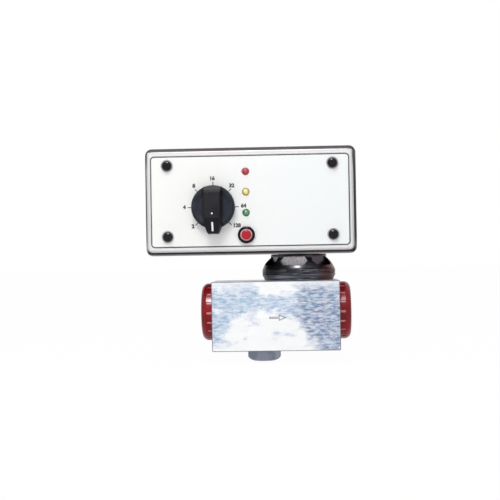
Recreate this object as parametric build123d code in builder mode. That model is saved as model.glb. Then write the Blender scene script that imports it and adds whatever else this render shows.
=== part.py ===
"""Timer-controlled drain valve: a ported block, a pilot-assisted piston under a screwed bonnet,
and a coil with its timer in a control box that the armature tube carries.

Frame: the origin is on the port axis, where the inlet thread starts. +X is the flow, from inlet to
outlet, -Y is the front, which the control panel faces, and +Z is up. Lengths are in millimetres.
"""
from build123d import *
import os

os.makedirs("parts", exist_ok=True)

# ------------------------------------------------------------------ driving dimensions
# valve block, with a G1 port at each end and a counterbore that seats the transit cap
block_length = 92.0
block_depth = 55.0
block_height = 50.0
block_top = 22.5
block_chamfer = 0.5
port_thread_radius = 15.145
port_thread_length = 18.0
socket_radius = 17.25
socket_depth = 3.2
passage_radius = 8.0
bonnet_x = 59.8
plug_x = 33.5

# main seat, under the bonnet
chamber_radius = 17.0
chamber_floor = 17.5
seat_top = 19.5
seat_radius = 8.5
drop_radius = 6.5
gallery_radius = 3.0
gallery_start_height = 11.5
gallery_entry = 4.5
skirt_clearance = 1.5

# strainer well, from below
well_radius = 7.48
well_top = 14.0
plug_across_flats = 21.0
plug_head_height = 7.3
plug_turned_by = 8.0
plug_end_radius = 7.9
plug_bevel_height = 3.6
plug_bevel_bulge = (10.7, 1.3)
plug_shank_length = 10.0
plug_recess_radius = 4.6
plug_recess_depth = 4.0
plug_seal_height = 1.5

# bonnet, outside and inside
bonnet_flange_radius = 27.0
bonnet_neck_radius = 20.5
bonnet_top = 41.6
bonnet_bore_radius = 13.5
bonnet_ceiling = 38.0
bonnet_across_flats = 36.0
bonnet_turned_by = -10.0

# armature tube and coil
tube_radius = 7.0
tube_bore_radius = 5.5
tube_top = 86.7
plunger_lift = 5.0
core_gap = 0.5
piston_lift = 4.0
piston_head_room = 0.8
coil_width = 39.0

# control box; the panel is its front
panel_width = 147.2
panel_height = 72.6
panel_center_x = 25.8
panel_center_z = 80.5
box_front = -32.5
box_back = 27.5
box_wall = 2.5
box_back_wall = 3.0
box_floor_thickness = 3.0
box_corner = 3.8
mouth_lip = 2.5
mouth_lip_depth = 4.0
mouth_corner = 5.0
lid_edge_radius = 2.0
lid_depth = 12.5
gasket_thickness = 1.0
overlay_width = 142.6
overlay_height = 66.0
overlay_drop = 0.5
overlay_corner = 3.0
overlay_thickness = 0.4
overlay_recess = 0.5
screw_spacing_x = 117.6
screw_spacing_z = 50.6

# controls, measured from the panel's centre
dial_dx = -26.1
dial_dz = -4.6
lamp_dx = -2.85
lamp_heights = {"red": 20.4, "yellow": 5.9, "green": -8.9}
lamp_radius = 2.5
button_dz = -24.7
knob_radius = 15.5
knob_reach = 19.2
button_bezel_radius = 6.1
barrel_radius = 4.9
bushing_radius = 4.5
button_travel = 2.0

# circuit board, behind the lid
pcb_standoff = 8.5
pcb_thickness = 1.6
pcb_center_x = 4.0
pcb_center_z = 79.0
pcb_width = 64.0
pcb_height = 62.0
pcb_hole_inset = 4.0
pillar_radius = 3.0
board_screw_radius = 1.05
board_head_radius = 2.1
board_head_height = 1.4
board_screw_reach = 8.0
component_corner = 1.2

# transit caps
cap_radius = 21.0
cap_thickness = 8.4
cap_ribs = 18

# small clearances
running_gap = 0.06
assembly_gap = 0.05
bolt_gap = 0.2

# ------------------------------------------------------------------ derived places
block_left = -socket_depth
block_right = block_left + block_length
block_mid_x = block_left + block_length / 2
block_bottom = block_top - block_height
bonnet_skirt_bottom = chamber_floor + skirt_clearance

box_bottom = panel_center_z - panel_height / 2
box_floor = box_bottom + box_floor_thickness
box_inner_back = box_back - box_back_wall
mouth_width = panel_width + 2 * mouth_lip
mouth_height = panel_height + 2 * mouth_lip
lid_recess_floor = box_front + overlay_recess
lid_inner_face = lid_recess_floor + box_wall
lid_back = box_front + lid_depth
base_front = lid_back + gasket_thickness
overlay_front = lid_recess_floor - overlay_thickness

dial_x = panel_center_x + dial_dx
dial_z = panel_center_z + dial_dz
lamp_x = panel_center_x + lamp_dx
button_z = panel_center_z + button_dz
pcb_front = lid_inner_face + pcb_standoff
pcb_back = pcb_front + pcb_thickness
pcb_hole_dx = pcb_width - 2 * pcb_hole_inset
pcb_hole_dz = pcb_height - 2 * pcb_hole_inset

bonnet_axis = Axis((bonnet_x, 0, 0), (0, 0, 1))
bonnet_section = Plane(origin=(bonnet_x, 0, 0), x_dir=(1, 0, 0), z_dir=(0, -1, 0))
plug_axis = Axis((plug_x, 0, 0), (0, 0, 1))
plug_section = Plane(origin=(plug_x, 0, 0), x_dir=(1, 0, 0), z_dir=(0, -1, 0))
inlet_mouth = Plane(origin=(block_left, 0, 0), x_dir=(0, -1, 0), z_dir=(-1, 0, 0))
outlet_mouth = Plane(origin=(block_right, 0, 0), x_dir=(0, 1, 0), z_dir=(1, 0, 0))


def front_plane(y):
    """Sketch plane at depth y: sketch X is +X, sketch Y is +Z, and extrusions grow forwards."""
    return Plane.XZ.offset(-y)


def dial_plane(y):
    """Front-facing sketch plane at depth y, centred on the selector's axis."""
    return Plane(origin=(dial_x, y, dial_z), x_dir=(1, 0, 0), z_dir=(0, -1, 0))


def button_plane(y):
    """Front-facing sketch plane at depth y, centred on the test button's axis."""
    return Plane(origin=(lamp_x, y, button_z), x_dir=(1, 0, 0), z_dir=(0, -1, 0))


def panel_plane(y):
    """Front-facing sketch plane at depth y, centred on the panel."""
    return Plane(origin=(panel_center_x, y, panel_center_z), x_dir=(1, 0, 0), z_dir=(0, -1, 0))


def level(z, x=0.0):
    """Horizontal sketch plane at height z, centred on x."""
    return Plane(origin=(x, 0, z), x_dir=(1, 0, 0), z_dir=(0, 0, 1))


# ------------------------------------------------------------------ valve block
with BuildPart() as valve_block:
    with BuildSketch(level(block_bottom, block_mid_x)):
        Rectangle(block_length, block_depth)
    extrude(amount=block_height)
    chamfer(valve_block.edges(), length=block_chamfer)
    # ports: counterbore, thread wall and passage, drilled from each end
    for mouth, reach in ((inlet_mouth, plug_x - block_left), (outlet_mouth, block_right - bonnet_x)):
        with Locations(mouth):
            CounterBoreHole(
                radius=port_thread_radius,
                counter_bore_radius=socket_radius,
                counter_bore_depth=socket_depth,
                depth=socket_depth + port_thread_length,
            )
            Hole(radius=passage_radius, depth=reach)
    # main chamber, open at the top, with its floor cut round a raised seat
    with BuildSketch(level(block_top, bonnet_x)):
        Circle(chamber_radius)
    extrude(amount=seat_top - block_top, mode=Mode.SUBTRACT)
    with BuildSketch(level(seat_top, bonnet_x)):
        Circle(chamber_radius)
        Circle(seat_radius, mode=Mode.SUBTRACT)
    extrude(amount=chamber_floor - seat_top, mode=Mode.SUBTRACT)
    with BuildSketch(level(seat_top, bonnet_x)):
        Circle(drop_radius)
    extrude(amount=-seat_top, mode=Mode.SUBTRACT)
    # strainer well from below, and the slanted gallery from its head to the chamber
    with BuildSketch(level(block_bottom, plug_x)):
        Circle(well_radius)
    extrude(amount=well_top - block_bottom, mode=Mode.SUBTRACT)
    gallery_start = Vector(plug_x, 0, gallery_start_height)
    gallery_end = Vector(bonnet_x - chamber_radius + gallery_entry, 0, bonnet_skirt_bottom)
    gallery_run = gallery_end - gallery_start
    with BuildSketch(Plane(origin=gallery_start, z_dir=gallery_run)):
        Circle(gallery_radius)
    extrude(amount=gallery_run.length, mode=Mode.SUBTRACT)
valve_block.part.label = "valve_block"
export_step(valve_block.part, "parts/valve_block.step")

# ------------------------------------------------------------------ strainer and its plug
plug_head_top = block_bottom - plug_seal_height
plug_head_bottom = plug_head_top - plug_head_height
plug_shank_top = block_bottom + plug_shank_length
plug_flat = plug_across_flats / 2
plug_corner_clear = plug_flat + 2.0

with BuildPart() as bottom_plug:
    with BuildSketch(level(plug_head_bottom, plug_x)):
        RegularPolygon(radius=plug_flat, side_count=6, major_radius=False, rotation=plug_turned_by)
    extrude(amount=plug_head_height)
    # the turned crown that rounds off the end of the hexagon
    with BuildSketch(plug_section):
        with BuildLine():
            crown_start = (plug_end_radius, plug_head_bottom)
            crown_end = (plug_corner_clear, plug_head_bottom + plug_bevel_height)
            crown_bulge = (plug_bevel_bulge[0], plug_head_bottom + plug_bevel_bulge[1])
            ThreePointArc(crown_start, crown_bulge, crown_end)
            Polyline(
                crown_end,
                (plug_corner_clear, plug_head_top),
                (0, plug_head_top),
                (0, plug_head_bottom),
                crown_start,
            )
        make_face()
    revolve(axis=plug_axis, mode=Mode.INTERSECT)
    with BuildSketch(level(plug_head_top, plug_x)):
        Circle(well_radius - assembly_gap)
    extrude(amount=plug_shank_top - plug_head_top)
    with BuildSketch(level(plug_shank_top, plug_x)):
        Circle(plug_recess_radius)
    extrude(amount=-plug_recess_depth, mode=Mode.SUBTRACT)
bottom_plug.part.label = "bottom_plug"
export_step(bottom_plug.part, "parts/bottom_plug.step")

with BuildPart() as plug_seal:
    with BuildSketch(level(plug_head_top, plug_x)):
        Circle(plug_flat - bolt_gap)
        Circle(well_radius + bolt_gap, mode=Mode.SUBTRACT)
    extrude(amount=plug_seal_height)
plug_seal.part.label = "plug_seal"
export_step(plug_seal.part, "parts/plug_seal.step")

screen_radius = 5.8
screen_wall = 0.6
screen_slots = 8
slot_rows = 4
slot_width = 1.8
slot_height = 4.0
slot_pitch = 6.0
with BuildPart() as strainer_screen:
    with BuildSketch(level(plug_shank_top, plug_x)):
        Circle(screen_radius)
        Circle(screen_radius - screen_wall, mode=Mode.SUBTRACT)
    extrude(amount=well_top - plug_shank_top)
    # rows of slots through the screen's wall
    for row in range(slot_rows):
        with BuildSketch(level(plug_shank_top + slot_height + slot_pitch * row, plug_x)):
            with PolarLocations(screen_radius, screen_slots):
                Rectangle(4 * screen_wall, slot_width)
        extrude(amount=slot_height, mode=Mode.SUBTRACT)
strainer_screen.part.label = "strainer_screen"
export_step(strainer_screen.part, "parts/strainer_screen.step")

# ------------------------------------------------------------------ bonnet
oring_inner, oring_outer, oring_height = 18.8, 21.2, 1.6
oring_bevel = 0.45
flat_floor = 33.6
flat_top = 39.8
flat_reach = 12.0
flat_half_width = 10.0
flat_end_half_width = 7.6
foot_inset = 2.0
foot_height = 4.2
shoulder_height = 7.0
neck_foot_height = 16.6
flare_bulge = (24.3, 35.2)
neck_chamfer = 0.7
rim_groove = 0.5
rim_groove_heights = (4.9, 6.3)
flat_middle = (flat_floor + flat_top) / 2
flat_rise = (flat_top - flat_floor) / 2

# cutter for the six spanner flats: each is a window milled under a full collar, with pointed
# ends that stop short of its neighbours
with BuildPart() as flat_cutter:
    for side in range(6):
        outwards = Vector(1, 0, 0).rotate(Axis.Z, bonnet_turned_by - 90 + 60 * side)
        window = Vector(bonnet_x, 0, flat_middle) + outwards * (bonnet_across_flats / 2)
        with BuildSketch(Plane(origin=window, x_dir=outwards.cross(Vector(0, 0, -1)), z_dir=outwards)):
            Polygon(
                (-flat_half_width, 0),
                (-flat_end_half_width, -flat_rise),
                (flat_end_half_width, -flat_rise),
                (flat_half_width, 0),
                (flat_end_half_width, flat_rise),
                (-flat_end_half_width, flat_rise),
            )
        extrude(amount=flat_reach)

with BuildPart() as bonnet:
    with BuildSketch(bonnet_section):
        with BuildLine():
            outer_foot = (bonnet_flange_radius, block_top + foot_height)
            outer_shoulder = (bonnet_flange_radius, block_top + shoulder_height)
            neck_foot = (bonnet_neck_radius, block_top + neck_foot_height)
            neck_shoulder = (bonnet_neck_radius, bonnet_top - neck_chamfer)
            neck_edge = (bonnet_neck_radius - neck_chamfer, bonnet_top)
            Polyline(
                (tube_radius + assembly_gap, bonnet_top),
                (tube_radius + assembly_gap, bonnet_ceiling),
                (bonnet_bore_radius, bonnet_ceiling),
                (bonnet_bore_radius, bonnet_skirt_bottom),
                (chamber_radius - assembly_gap, bonnet_skirt_bottom),
                (chamber_radius - assembly_gap, block_top),
                (oring_inner, block_top),
                (oring_inner, block_top + oring_height),
                (oring_outer, block_top + oring_height),
                (oring_outer, block_top),
                (bonnet_flange_radius - foot_inset, block_top),
                outer_foot,
                outer_shoulder,
            )
            ThreePointArc(outer_shoulder, flare_bulge, neck_foot)
            Polyline(neck_foot, neck_shoulder, neck_edge, (tube_radius + assembly_gap, bonnet_top))
        make_face()
        # two fine grooves turned in the rim of the flange
        for groove_height in rim_groove_heights:
            with Locations((bonnet_flange_radius, block_top + groove_height)):
                RegularPolygon(radius=rim_groove, side_count=4, mode=Mode.SUBTRACT)
    revolve(axis=bonnet_axis)
    add(flat_cutter.part, mode=Mode.SUBTRACT)
bonnet.part.label = "bonnet"
export_step(bonnet.part, "parts/bonnet.step")

with BuildPart() as bonnet_oring:
    with BuildSketch(bonnet_section) as oring_section:
        with Locations(((oring_inner + oring_outer) / 2, block_top + oring_height / 2)):
            Rectangle(oring_outer - oring_inner, oring_height)
        chamfer(oring_section.vertices(), length=oring_bevel)
    revolve(axis=bonnet_axis)
bonnet_oring.part.label = "bonnet_oring"
export_step(bonnet_oring.part, "parts/bonnet_oring.step")

# ------------------------------------------------------------------ piston and plunger
tube_foot_radius = 9.6
tube_foot_height = 1.2
foot_bottom = bonnet_ceiling - tube_foot_height
piston_top = foot_bottom - piston_lift - piston_head_room
piston_seal_thickness = 1.5
piston_seal_radius = 10.4
piston_seal_edge = 0.5
piston_bottom = seat_top + piston_seal_thickness
piston_floor = 25.0
piston_cup_radius = 11.0
piston_chamfer = 1.0
pilot_bore_radius = 1.2
boss_radius = 3.6
boss_taper = 0.6
spring_wire = 0.6
piston_spring_radius = 7.6
piston_spring_pitch = 2.75

with BuildPart() as piston:
    with BuildSketch(bonnet_section):
        with BuildLine():
            Polyline(
                (pilot_bore_radius, piston_bottom),
                (bonnet_bore_radius - running_gap, piston_bottom),
                (bonnet_bore_radius - running_gap, piston_top - piston_chamfer),
                (bonnet_bore_radius - running_gap - piston_chamfer, piston_top),
                (piston_cup_radius, piston_top),
                (piston_cup_radius, piston_floor),
                (boss_radius, piston_floor),
                (boss_radius - boss_taper, piston_top),
                (pilot_bore_radius, piston_top),
                close=True,
            )
        make_face()
    revolve(axis=bonnet_axis)
piston.part.label = "piston"
export_step(piston.part, "parts/piston.step")

with BuildPart() as piston_seal:
    with BuildSketch(level(seat_top, bonnet_x)):
        Circle(piston_seal_radius)
        Circle(pilot_bore_radius, mode=Mode.SUBTRACT)
    extrude(amount=piston_seal_thickness)
    chamfer(piston_seal.edges().group_by(Axis.Z)[0].sort_by(SortBy.RADIUS)[-1], length=piston_seal_edge)
piston_seal.part.label = "piston_seal"
export_step(piston_seal.part, "parts/piston_seal.step")

with BuildPart() as piston_spring:
    spring_path = Helix(
        pitch=piston_spring_pitch, height=foot_bottom - piston_floor - 2 * spring_wire,
        radius=piston_spring_radius,
        center=(bonnet_x, 0, piston_floor + spring_wire), mode=Mode.PRIVATE,
    )
    with BuildSketch(Plane(origin=spring_path @ 0, z_dir=spring_path % 0)):
        RegularPolygon(radius=spring_wire, side_count=8)
    sweep(path=spring_path, is_frenet=True)
piston_spring.part.label = "piston_spring"
export_step(piston_spring.part, "parts/piston_spring.step")

plunger_tip = piston_top
plunger_foot = piston_top + 2.5
plunger_nose_radius = 3.4
plunger_nose_length = 1.2
plunger_nose_bevel = 1.0
plunger_edge = 0.8
pilot_seal_radius = 2.4
plunger_top = 69.5
plunger_pocket_radius = 3.2
plunger_pocket_floor = 58.0
with BuildPart() as plunger:
    with BuildSketch(bonnet_section):
        with BuildLine():
            Polyline(
                (0, plunger_foot - plunger_nose_length),
                (plunger_nose_radius, plunger_foot - plunger_nose_length),
                (tube_bore_radius - running_gap, plunger_foot + plunger_nose_bevel),
                (tube_bore_radius - running_gap, plunger_top - plunger_edge),
                (tube_bore_radius - running_gap - plunger_edge, plunger_top),
                (plunger_pocket_radius, plunger_top),
                (plunger_pocket_radius, plunger_pocket_floor),
                (0, plunger_pocket_floor),
                close=True,
            )
        make_face()
    revolve(axis=bonnet_axis)
plunger.part.label = "plunger"
export_step(plunger.part, "parts/plunger.step")

with BuildPart() as pilot_seal:
    with BuildSketch(level(plunger_tip, bonnet_x)):
        Circle(pilot_seal_radius)
    extrude(amount=plunger_foot - plunger_nose_length - plunger_tip)
pilot_seal.part.label = "pilot_seal"
export_step(pilot_seal.part, "parts/pilot_seal.step")

core_bottom = plunger_top + plunger_lift + core_gap
plunger_wire = 0.4
plunger_spring_radius = 2.6
plunger_spring_pitch = 2.7
with BuildPart() as plunger_spring:
    spring_path = Helix(
        pitch=plunger_spring_pitch, height=core_bottom - plunger_pocket_floor - 2 * plunger_wire,
        radius=plunger_spring_radius,
        center=(bonnet_x, 0, plunger_pocket_floor + plunger_wire), mode=Mode.PRIVATE,
    )
    with BuildSketch(Plane(origin=spring_path @ 0, z_dir=spring_path % 0)):
        RegularPolygon(radius=plunger_wire, side_count=6)
    sweep(path=spring_path, is_frenet=True)
plunger_spring.part.label = "plunger_spring"
export_step(plunger_spring.part, "parts/plunger_spring.step")

# ------------------------------------------------------------------ armature tube and coil
coil_bottom = box_floor
coil_height = 40.0
coil_top = coil_bottom + coil_height
yoke_thickness = 3.0
yoke_depth = 30.0
yoke_corner = 4.0
stud_radius = 4.0
stud_length = 9.8
stud_chamfer = 0.8

with BuildPart() as armature_tube:
    with BuildSketch(bonnet_section):
        with BuildLine():
            Polyline(
                (tube_bore_radius, foot_bottom),
                (tube_foot_radius, foot_bottom),
                (tube_foot_radius, bonnet_ceiling),
                (tube_radius, bonnet_ceiling),
                (tube_radius, tube_top),
                (tube_bore_radius, tube_top),
                close=True,
            )
        make_face()
    revolve(axis=bonnet_axis)
armature_tube.part.label = "armature_tube"
export_step(armature_tube.part, "parts/armature_tube.step")

with BuildPart() as fixed_core:
    with BuildSketch(bonnet_section):
        with BuildLine():
            Polyline(
                (0, core_bottom),
                (tube_bore_radius - assembly_gap, core_bottom),
                (tube_bore_radius - assembly_gap, tube_top),
                (stud_radius, tube_top),
                (stud_radius, tube_top + stud_length - stud_chamfer),
                (stud_radius - stud_chamfer, tube_top + stud_length),
                (0, tube_top + stud_length),
                close=True,
            )
        make_face()
    revolve(axis=bonnet_axis)
fixed_core.part.label = "fixed_core"
export_step(fixed_core.part, "parts/fixed_core.step")

gasket_radius = 14.8
with BuildPart() as tube_gasket:
    with BuildSketch(level(bonnet_top, bonnet_x)):
        Circle(gasket_radius)
        Circle(tube_radius + bolt_gap, mode=Mode.SUBTRACT)
    extrude(amount=box_bottom - bonnet_top)
tube_gasket.part.label = "tube_gasket"
export_step(tube_gasket.part, "parts/tube_gasket.step")

with BuildPart() as coil_yoke:
    with BuildSketch(bonnet_section):
        with Locations((0, (coil_bottom + coil_top) / 2)):
            RectangleRounded(coil_width, coil_height, yoke_corner)
            Rectangle(
                coil_width - 2 * yoke_thickness,
                coil_height - 2 * yoke_thickness,
                mode=Mode.SUBTRACT,
            )
    extrude(amount=yoke_depth / 2, both=True)
    with BuildSketch(level(coil_bottom, bonnet_x)):
        Circle(tube_radius + bolt_gap)
    extrude(amount=coil_height, mode=Mode.SUBTRACT)
coil_yoke.part.label = "coil_yoke"
export_step(coil_yoke.part, "parts/coil_yoke.step")

bobbin_bottom = coil_bottom + yoke_thickness
bobbin_top = coil_top - yoke_thickness
bobbin_flange = 1.6
bobbin_hub = 8.6
winding_radius = 14.8
bobbin_radius = 15.6
with BuildPart() as coil_bobbin:
    with BuildSketch(bonnet_section):
        with BuildLine():
            Polyline(
                (tube_radius + bolt_gap, bobbin_bottom),
                (bobbin_radius, bobbin_bottom),
                (bobbin_radius, bobbin_bottom + bobbin_flange),
                (bobbin_hub, bobbin_bottom + bobbin_flange),
                (bobbin_hub, bobbin_top - bobbin_flange),
                (bobbin_radius, bobbin_top - bobbin_flange),
                (bobbin_radius, bobbin_top),
                (tube_radius + bolt_gap, bobbin_top),
                close=True,
            )
        make_face()
    revolve(axis=bonnet_axis)
coil_bobbin.part.label = "coil_bobbin"
export_step(coil_bobbin.part, "parts/coil_bobbin.step")

with BuildPart() as coil_winding:
    with BuildSketch(level(bobbin_bottom + bobbin_flange, bonnet_x)):
        Circle(winding_radius)
        Circle(bobbin_hub, mode=Mode.SUBTRACT)
    extrude(amount=bobbin_top - bobbin_bottom - 2 * bobbin_flange)
coil_winding.part.label = "coil_winding"
export_step(coil_winding.part, "parts/coil_winding.step")

coil_washer_radius = 10.0
coil_washer_thickness = 1.5
coil_nut_across_flats = 13.0
coil_nut_height = 5.0
with BuildPart() as coil_washer:
    with BuildSketch(level(coil_top, bonnet_x)):
        Circle(coil_washer_radius)
        Circle(stud_radius + bolt_gap, mode=Mode.SUBTRACT)
    extrude(amount=coil_washer_thickness)
coil_washer.part.label = "coil_washer"
export_step(coil_washer.part, "parts/coil_washer.step")

with BuildPart() as coil_nut:
    with BuildSketch(level(coil_top + coil_washer_thickness, bonnet_x)):
        RegularPolygon(radius=coil_nut_across_flats / 2, side_count=6, major_radius=False)
        Circle(stud_radius + assembly_gap, mode=Mode.SUBTRACT)
    extrude(amount=coil_nut_height)
coil_nut.part.label = "coil_nut"
export_step(coil_nut.part, "parts/coil_nut.step")

# ------------------------------------------------------------------ control box
post_radius = 4.4
screw_radius = 2.0
screw_depth = 22.0
box_back_radius = 2.0
inner_corner = 2.0
web_dx = 24.0
web_thickness = 2.0
web_height = 6.0
gland_x = -17.0
gland_z = 66.0
gland_thread_radius = 8.0

with BuildPart() as box_base:
    with BuildSketch(panel_plane(box_back)):
        RectangleRounded(panel_width, panel_height, box_corner)
    extrude(amount=box_back - base_front)
    fillet(box_base.faces().sort_by(Axis.Y)[-1].edges(), radius=box_back_radius)
    # a lip all round the mouth, which stands proud of the lid
    with BuildSketch(panel_plane(base_front + mouth_lip_depth)):
        RectangleRounded(mouth_width, mouth_height, mouth_corner)
    extrude(amount=mouth_lip_depth)
    # hollow it from the front, with a thicker floor where the armature tube comes through
    with BuildSketch(front_plane(box_inner_back)):
        with Locations((panel_center_x, panel_center_z + (box_floor_thickness - box_wall) / 2)):
            RectangleRounded(
                panel_width - 2 * box_wall,
                panel_height - box_wall - box_floor_thickness,
                inner_corner,
            )
    extrude(amount=box_inner_back - base_front, mode=Mode.SUBTRACT)
    # posts for the lid's screws, which reach forward to the inside of the lid
    with BuildSketch(panel_plane(box_inner_back)):
        with GridLocations(screw_spacing_x, screw_spacing_z, 2, 2):
            Circle(post_radius)
    extrude(amount=box_inner_back - lid_inner_face)
    with BuildSketch(panel_plane(lid_inner_face)):
        with GridLocations(screw_spacing_x, screw_spacing_z, 2, 2):
            Circle(screw_radius + assembly_gap)
    extrude(amount=-screw_depth, mode=Mode.SUBTRACT)
    # webs that brace the floor beside the coil
    with BuildSketch(front_plane(box_inner_back)):
        for web_x in (bonnet_x - web_dx, bonnet_x + web_dx):
            with Locations((web_x, box_floor + web_height / 2)):
                Rectangle(web_thickness, web_height)
    extrude(amount=box_inner_back - base_front - mouth_lip_depth)
    # way through for the armature tube, and the cable entry in the back
    with BuildSketch(level(box_bottom, bonnet_x)):
        Circle(tube_radius + bolt_gap)
    extrude(amount=box_floor_thickness, mode=Mode.SUBTRACT)
    with BuildSketch(front_plane(box_back)):
        with Locations((gland_x, gland_z)):
            Circle(gland_thread_radius + bolt_gap)
    extrude(amount=box_back_wall, mode=Mode.SUBTRACT)
box_base.part.label = "box_base"
export_step(box_base.part, "parts/box_base.step")

with BuildPart() as lid_gasket:
    with BuildSketch(panel_plane(base_front)):
        RectangleRounded(panel_width, panel_height, box_corner)
        RectangleRounded(
            panel_width - 2 * box_wall, panel_height - 2 * box_wall, inner_corner,
            mode=Mode.SUBTRACT,
        )
    extrude(amount=gasket_thickness)
lid_gasket.part.label = "lid_gasket"
export_step(lid_gasket.part, "parts/lid_gasket.step")

with BuildPart() as box_lid:
    with BuildSketch(panel_plane(lid_back)):
        RectangleRounded(panel_width, panel_height, box_corner)
    extrude(amount=lid_depth)
    fillet(box_lid.faces().sort_by(Axis.Y)[0].edges(), radius=lid_edge_radius)
    with BuildSketch(panel_plane(lid_back)):
        RectangleRounded(panel_width - 2 * box_wall, panel_height - 2 * box_wall, inner_corner)
    extrude(amount=lid_back - lid_inner_face, mode=Mode.SUBTRACT)
    # shallow recess that the printed overlay lies in
    with BuildSketch(panel_plane(lid_recess_floor)):
        with Locations((0, -overlay_drop)):
            RectangleRounded(overlay_width + bolt_gap, overlay_height + bolt_gap, overlay_corner)
    extrude(amount=overlay_recess, mode=Mode.SUBTRACT)
    # pillars for the circuit board
    with BuildSketch(front_plane(pcb_front)):
        with Locations((pcb_center_x, pcb_center_z)):
            with GridLocations(pcb_hole_dx, pcb_hole_dz, 2, 2):
                Circle(pillar_radius)
                Circle(board_screw_radius + assembly_gap, mode=Mode.SUBTRACT)
    extrude(amount=pcb_standoff)
    # ways through the lid for the switch, lamps, button and screws
    with BuildSketch(panel_plane(lid_inner_face)):
        with Locations((dial_dx, dial_dz)):
            Circle(bushing_radius + bolt_gap)
        with Locations(*[(lamp_dx, lamp_dz) for lamp_dz in lamp_heights.values()]):
            Circle(lamp_radius + bolt_gap)
        with Locations((lamp_dx, button_dz)):
            Circle(barrel_radius + bolt_gap)
        with GridLocations(screw_spacing_x, screw_spacing_z, 2, 2):
            Circle(screw_radius + bolt_gap)
    extrude(amount=lid_inner_face - lid_recess_floor, mode=Mode.SUBTRACT)
box_lid.part.label = "box_lid"
export_step(box_lid.part, "parts/box_lid.step")

with BuildPart() as front_overlay:
    with BuildSketch(panel_plane(lid_recess_floor)):
        with Locations((0, -overlay_drop)):
            RectangleRounded(overlay_width, overlay_height, overlay_corner)
        with GridLocations(screw_spacing_x, screw_spacing_z, 2, 2):
            Circle(screw_radius + bolt_gap, mode=Mode.SUBTRACT)
        with Locations((dial_dx, dial_dz)):
            Circle(bushing_radius + bolt_gap, mode=Mode.SUBTRACT)
        with Locations(*[(lamp_dx, lamp_dz) for lamp_dz in lamp_heights.values()]):
            Circle(lamp_radius + bolt_gap, mode=Mode.SUBTRACT)
        with Locations((lamp_dx, button_dz)):
            Circle(barrel_radius + bolt_gap, mode=Mode.SUBTRACT)
    extrude(amount=overlay_thickness)
front_overlay.part.label = "front_overlay"
export_step(front_overlay.part, "parts/front_overlay.step")

# ------------------------------------------------------------------ lid screws
washer_radius = 4.55
washer_thickness = 0.6
head_radius = 3.45
head_height = 2.7
head_dome = 1.7
screw_seat = overlay_front - washer_thickness

with BuildPart() as screw_washers:
    with BuildSketch(panel_plane(overlay_front)):
        with GridLocations(screw_spacing_x, screw_spacing_z, 2, 2):
            Circle(washer_radius)
            Circle(screw_radius + bolt_gap, mode=Mode.SUBTRACT)
    extrude(amount=washer_thickness)
screw_washers.part.label = "screw_washers"
export_step(screw_washers.part, "parts/screw_washers.step")

with BuildPart() as lid_screws:
    with BuildSketch(panel_plane(screw_seat)):
        with GridLocations(screw_spacing_x, screw_spacing_z, 2, 2):
            Circle(head_radius)
    extrude(amount=head_height)
    fillet(lid_screws.faces().group_by(Axis.Y)[0].edges(), radius=head_dome)
    with BuildSketch(panel_plane(screw_seat)):
        with GridLocations(screw_spacing_x, screw_spacing_z, 2, 2):
            Circle(screw_radius)
    extrude(amount=-screw_depth)
lid_screws.part.label = "lid_screws"
export_step(lid_screws.part, "parts/lid_screws.step")

# ------------------------------------------------------------------ circuit board and lamps
with BuildPart() as circuit_board:
    with BuildSketch(front_plane(pcb_back)):
        with Locations((pcb_center_x, pcb_center_z)):
            Rectangle(pcb_width, pcb_height)
            with GridLocations(pcb_hole_dx, pcb_hole_dz, 2, 2):
                Circle(board_screw_radius + bolt_gap, mode=Mode.SUBTRACT)
    extrude(amount=pcb_thickness)
circuit_board.part.label = "circuit_board"
export_step(circuit_board.part, "parts/circuit_board.step")

with BuildPart() as board_screws:
    with BuildSketch(front_plane(pcb_back)):
        with Locations((pcb_center_x, pcb_center_z)):
            with GridLocations(pcb_hole_dx, pcb_hole_dz, 2, 2):
                Circle(board_screw_radius)
    extrude(amount=board_screw_reach)
    with BuildSketch(front_plane(pcb_back)):
        with Locations((pcb_center_x, pcb_center_z)):
            with GridLocations(pcb_hole_dx, pcb_hole_dz, 2, 2):
                Circle(board_head_radius)
    extrude(amount=-board_head_height)
board_screws.part.label = "board_screws"
export_step(board_screws.part, "parts/board_screws.step")

relay_width, relay_height, relay_depth = 15.0, 19.0, 15.0
relay_place = (pcb_center_x - 14.0, pcb_center_z + 14.0)
with BuildPart() as relay:
    with BuildSketch(front_plane(pcb_back + relay_depth)):
        with Locations(relay_place):
            RectangleRounded(relay_width, relay_height, component_corner)
    extrude(amount=relay_depth)
relay.part.label = "relay"
export_step(relay.part, "parts/relay.step")

transformer_width, transformer_height, transformer_depth = 27.0, 22.0, 20.0
transformer_place = (pcb_center_x + 12.0, pcb_center_z - 10.0)
with BuildPart() as transformer:
    with BuildSketch(front_plane(pcb_back + transformer_depth)):
        with Locations(transformer_place):
            RectangleRounded(transformer_width, transformer_height, component_corner)
    extrude(amount=transformer_depth)
transformer.part.label = "transformer"
export_step(transformer.part, "parts/transformer.step")

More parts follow.
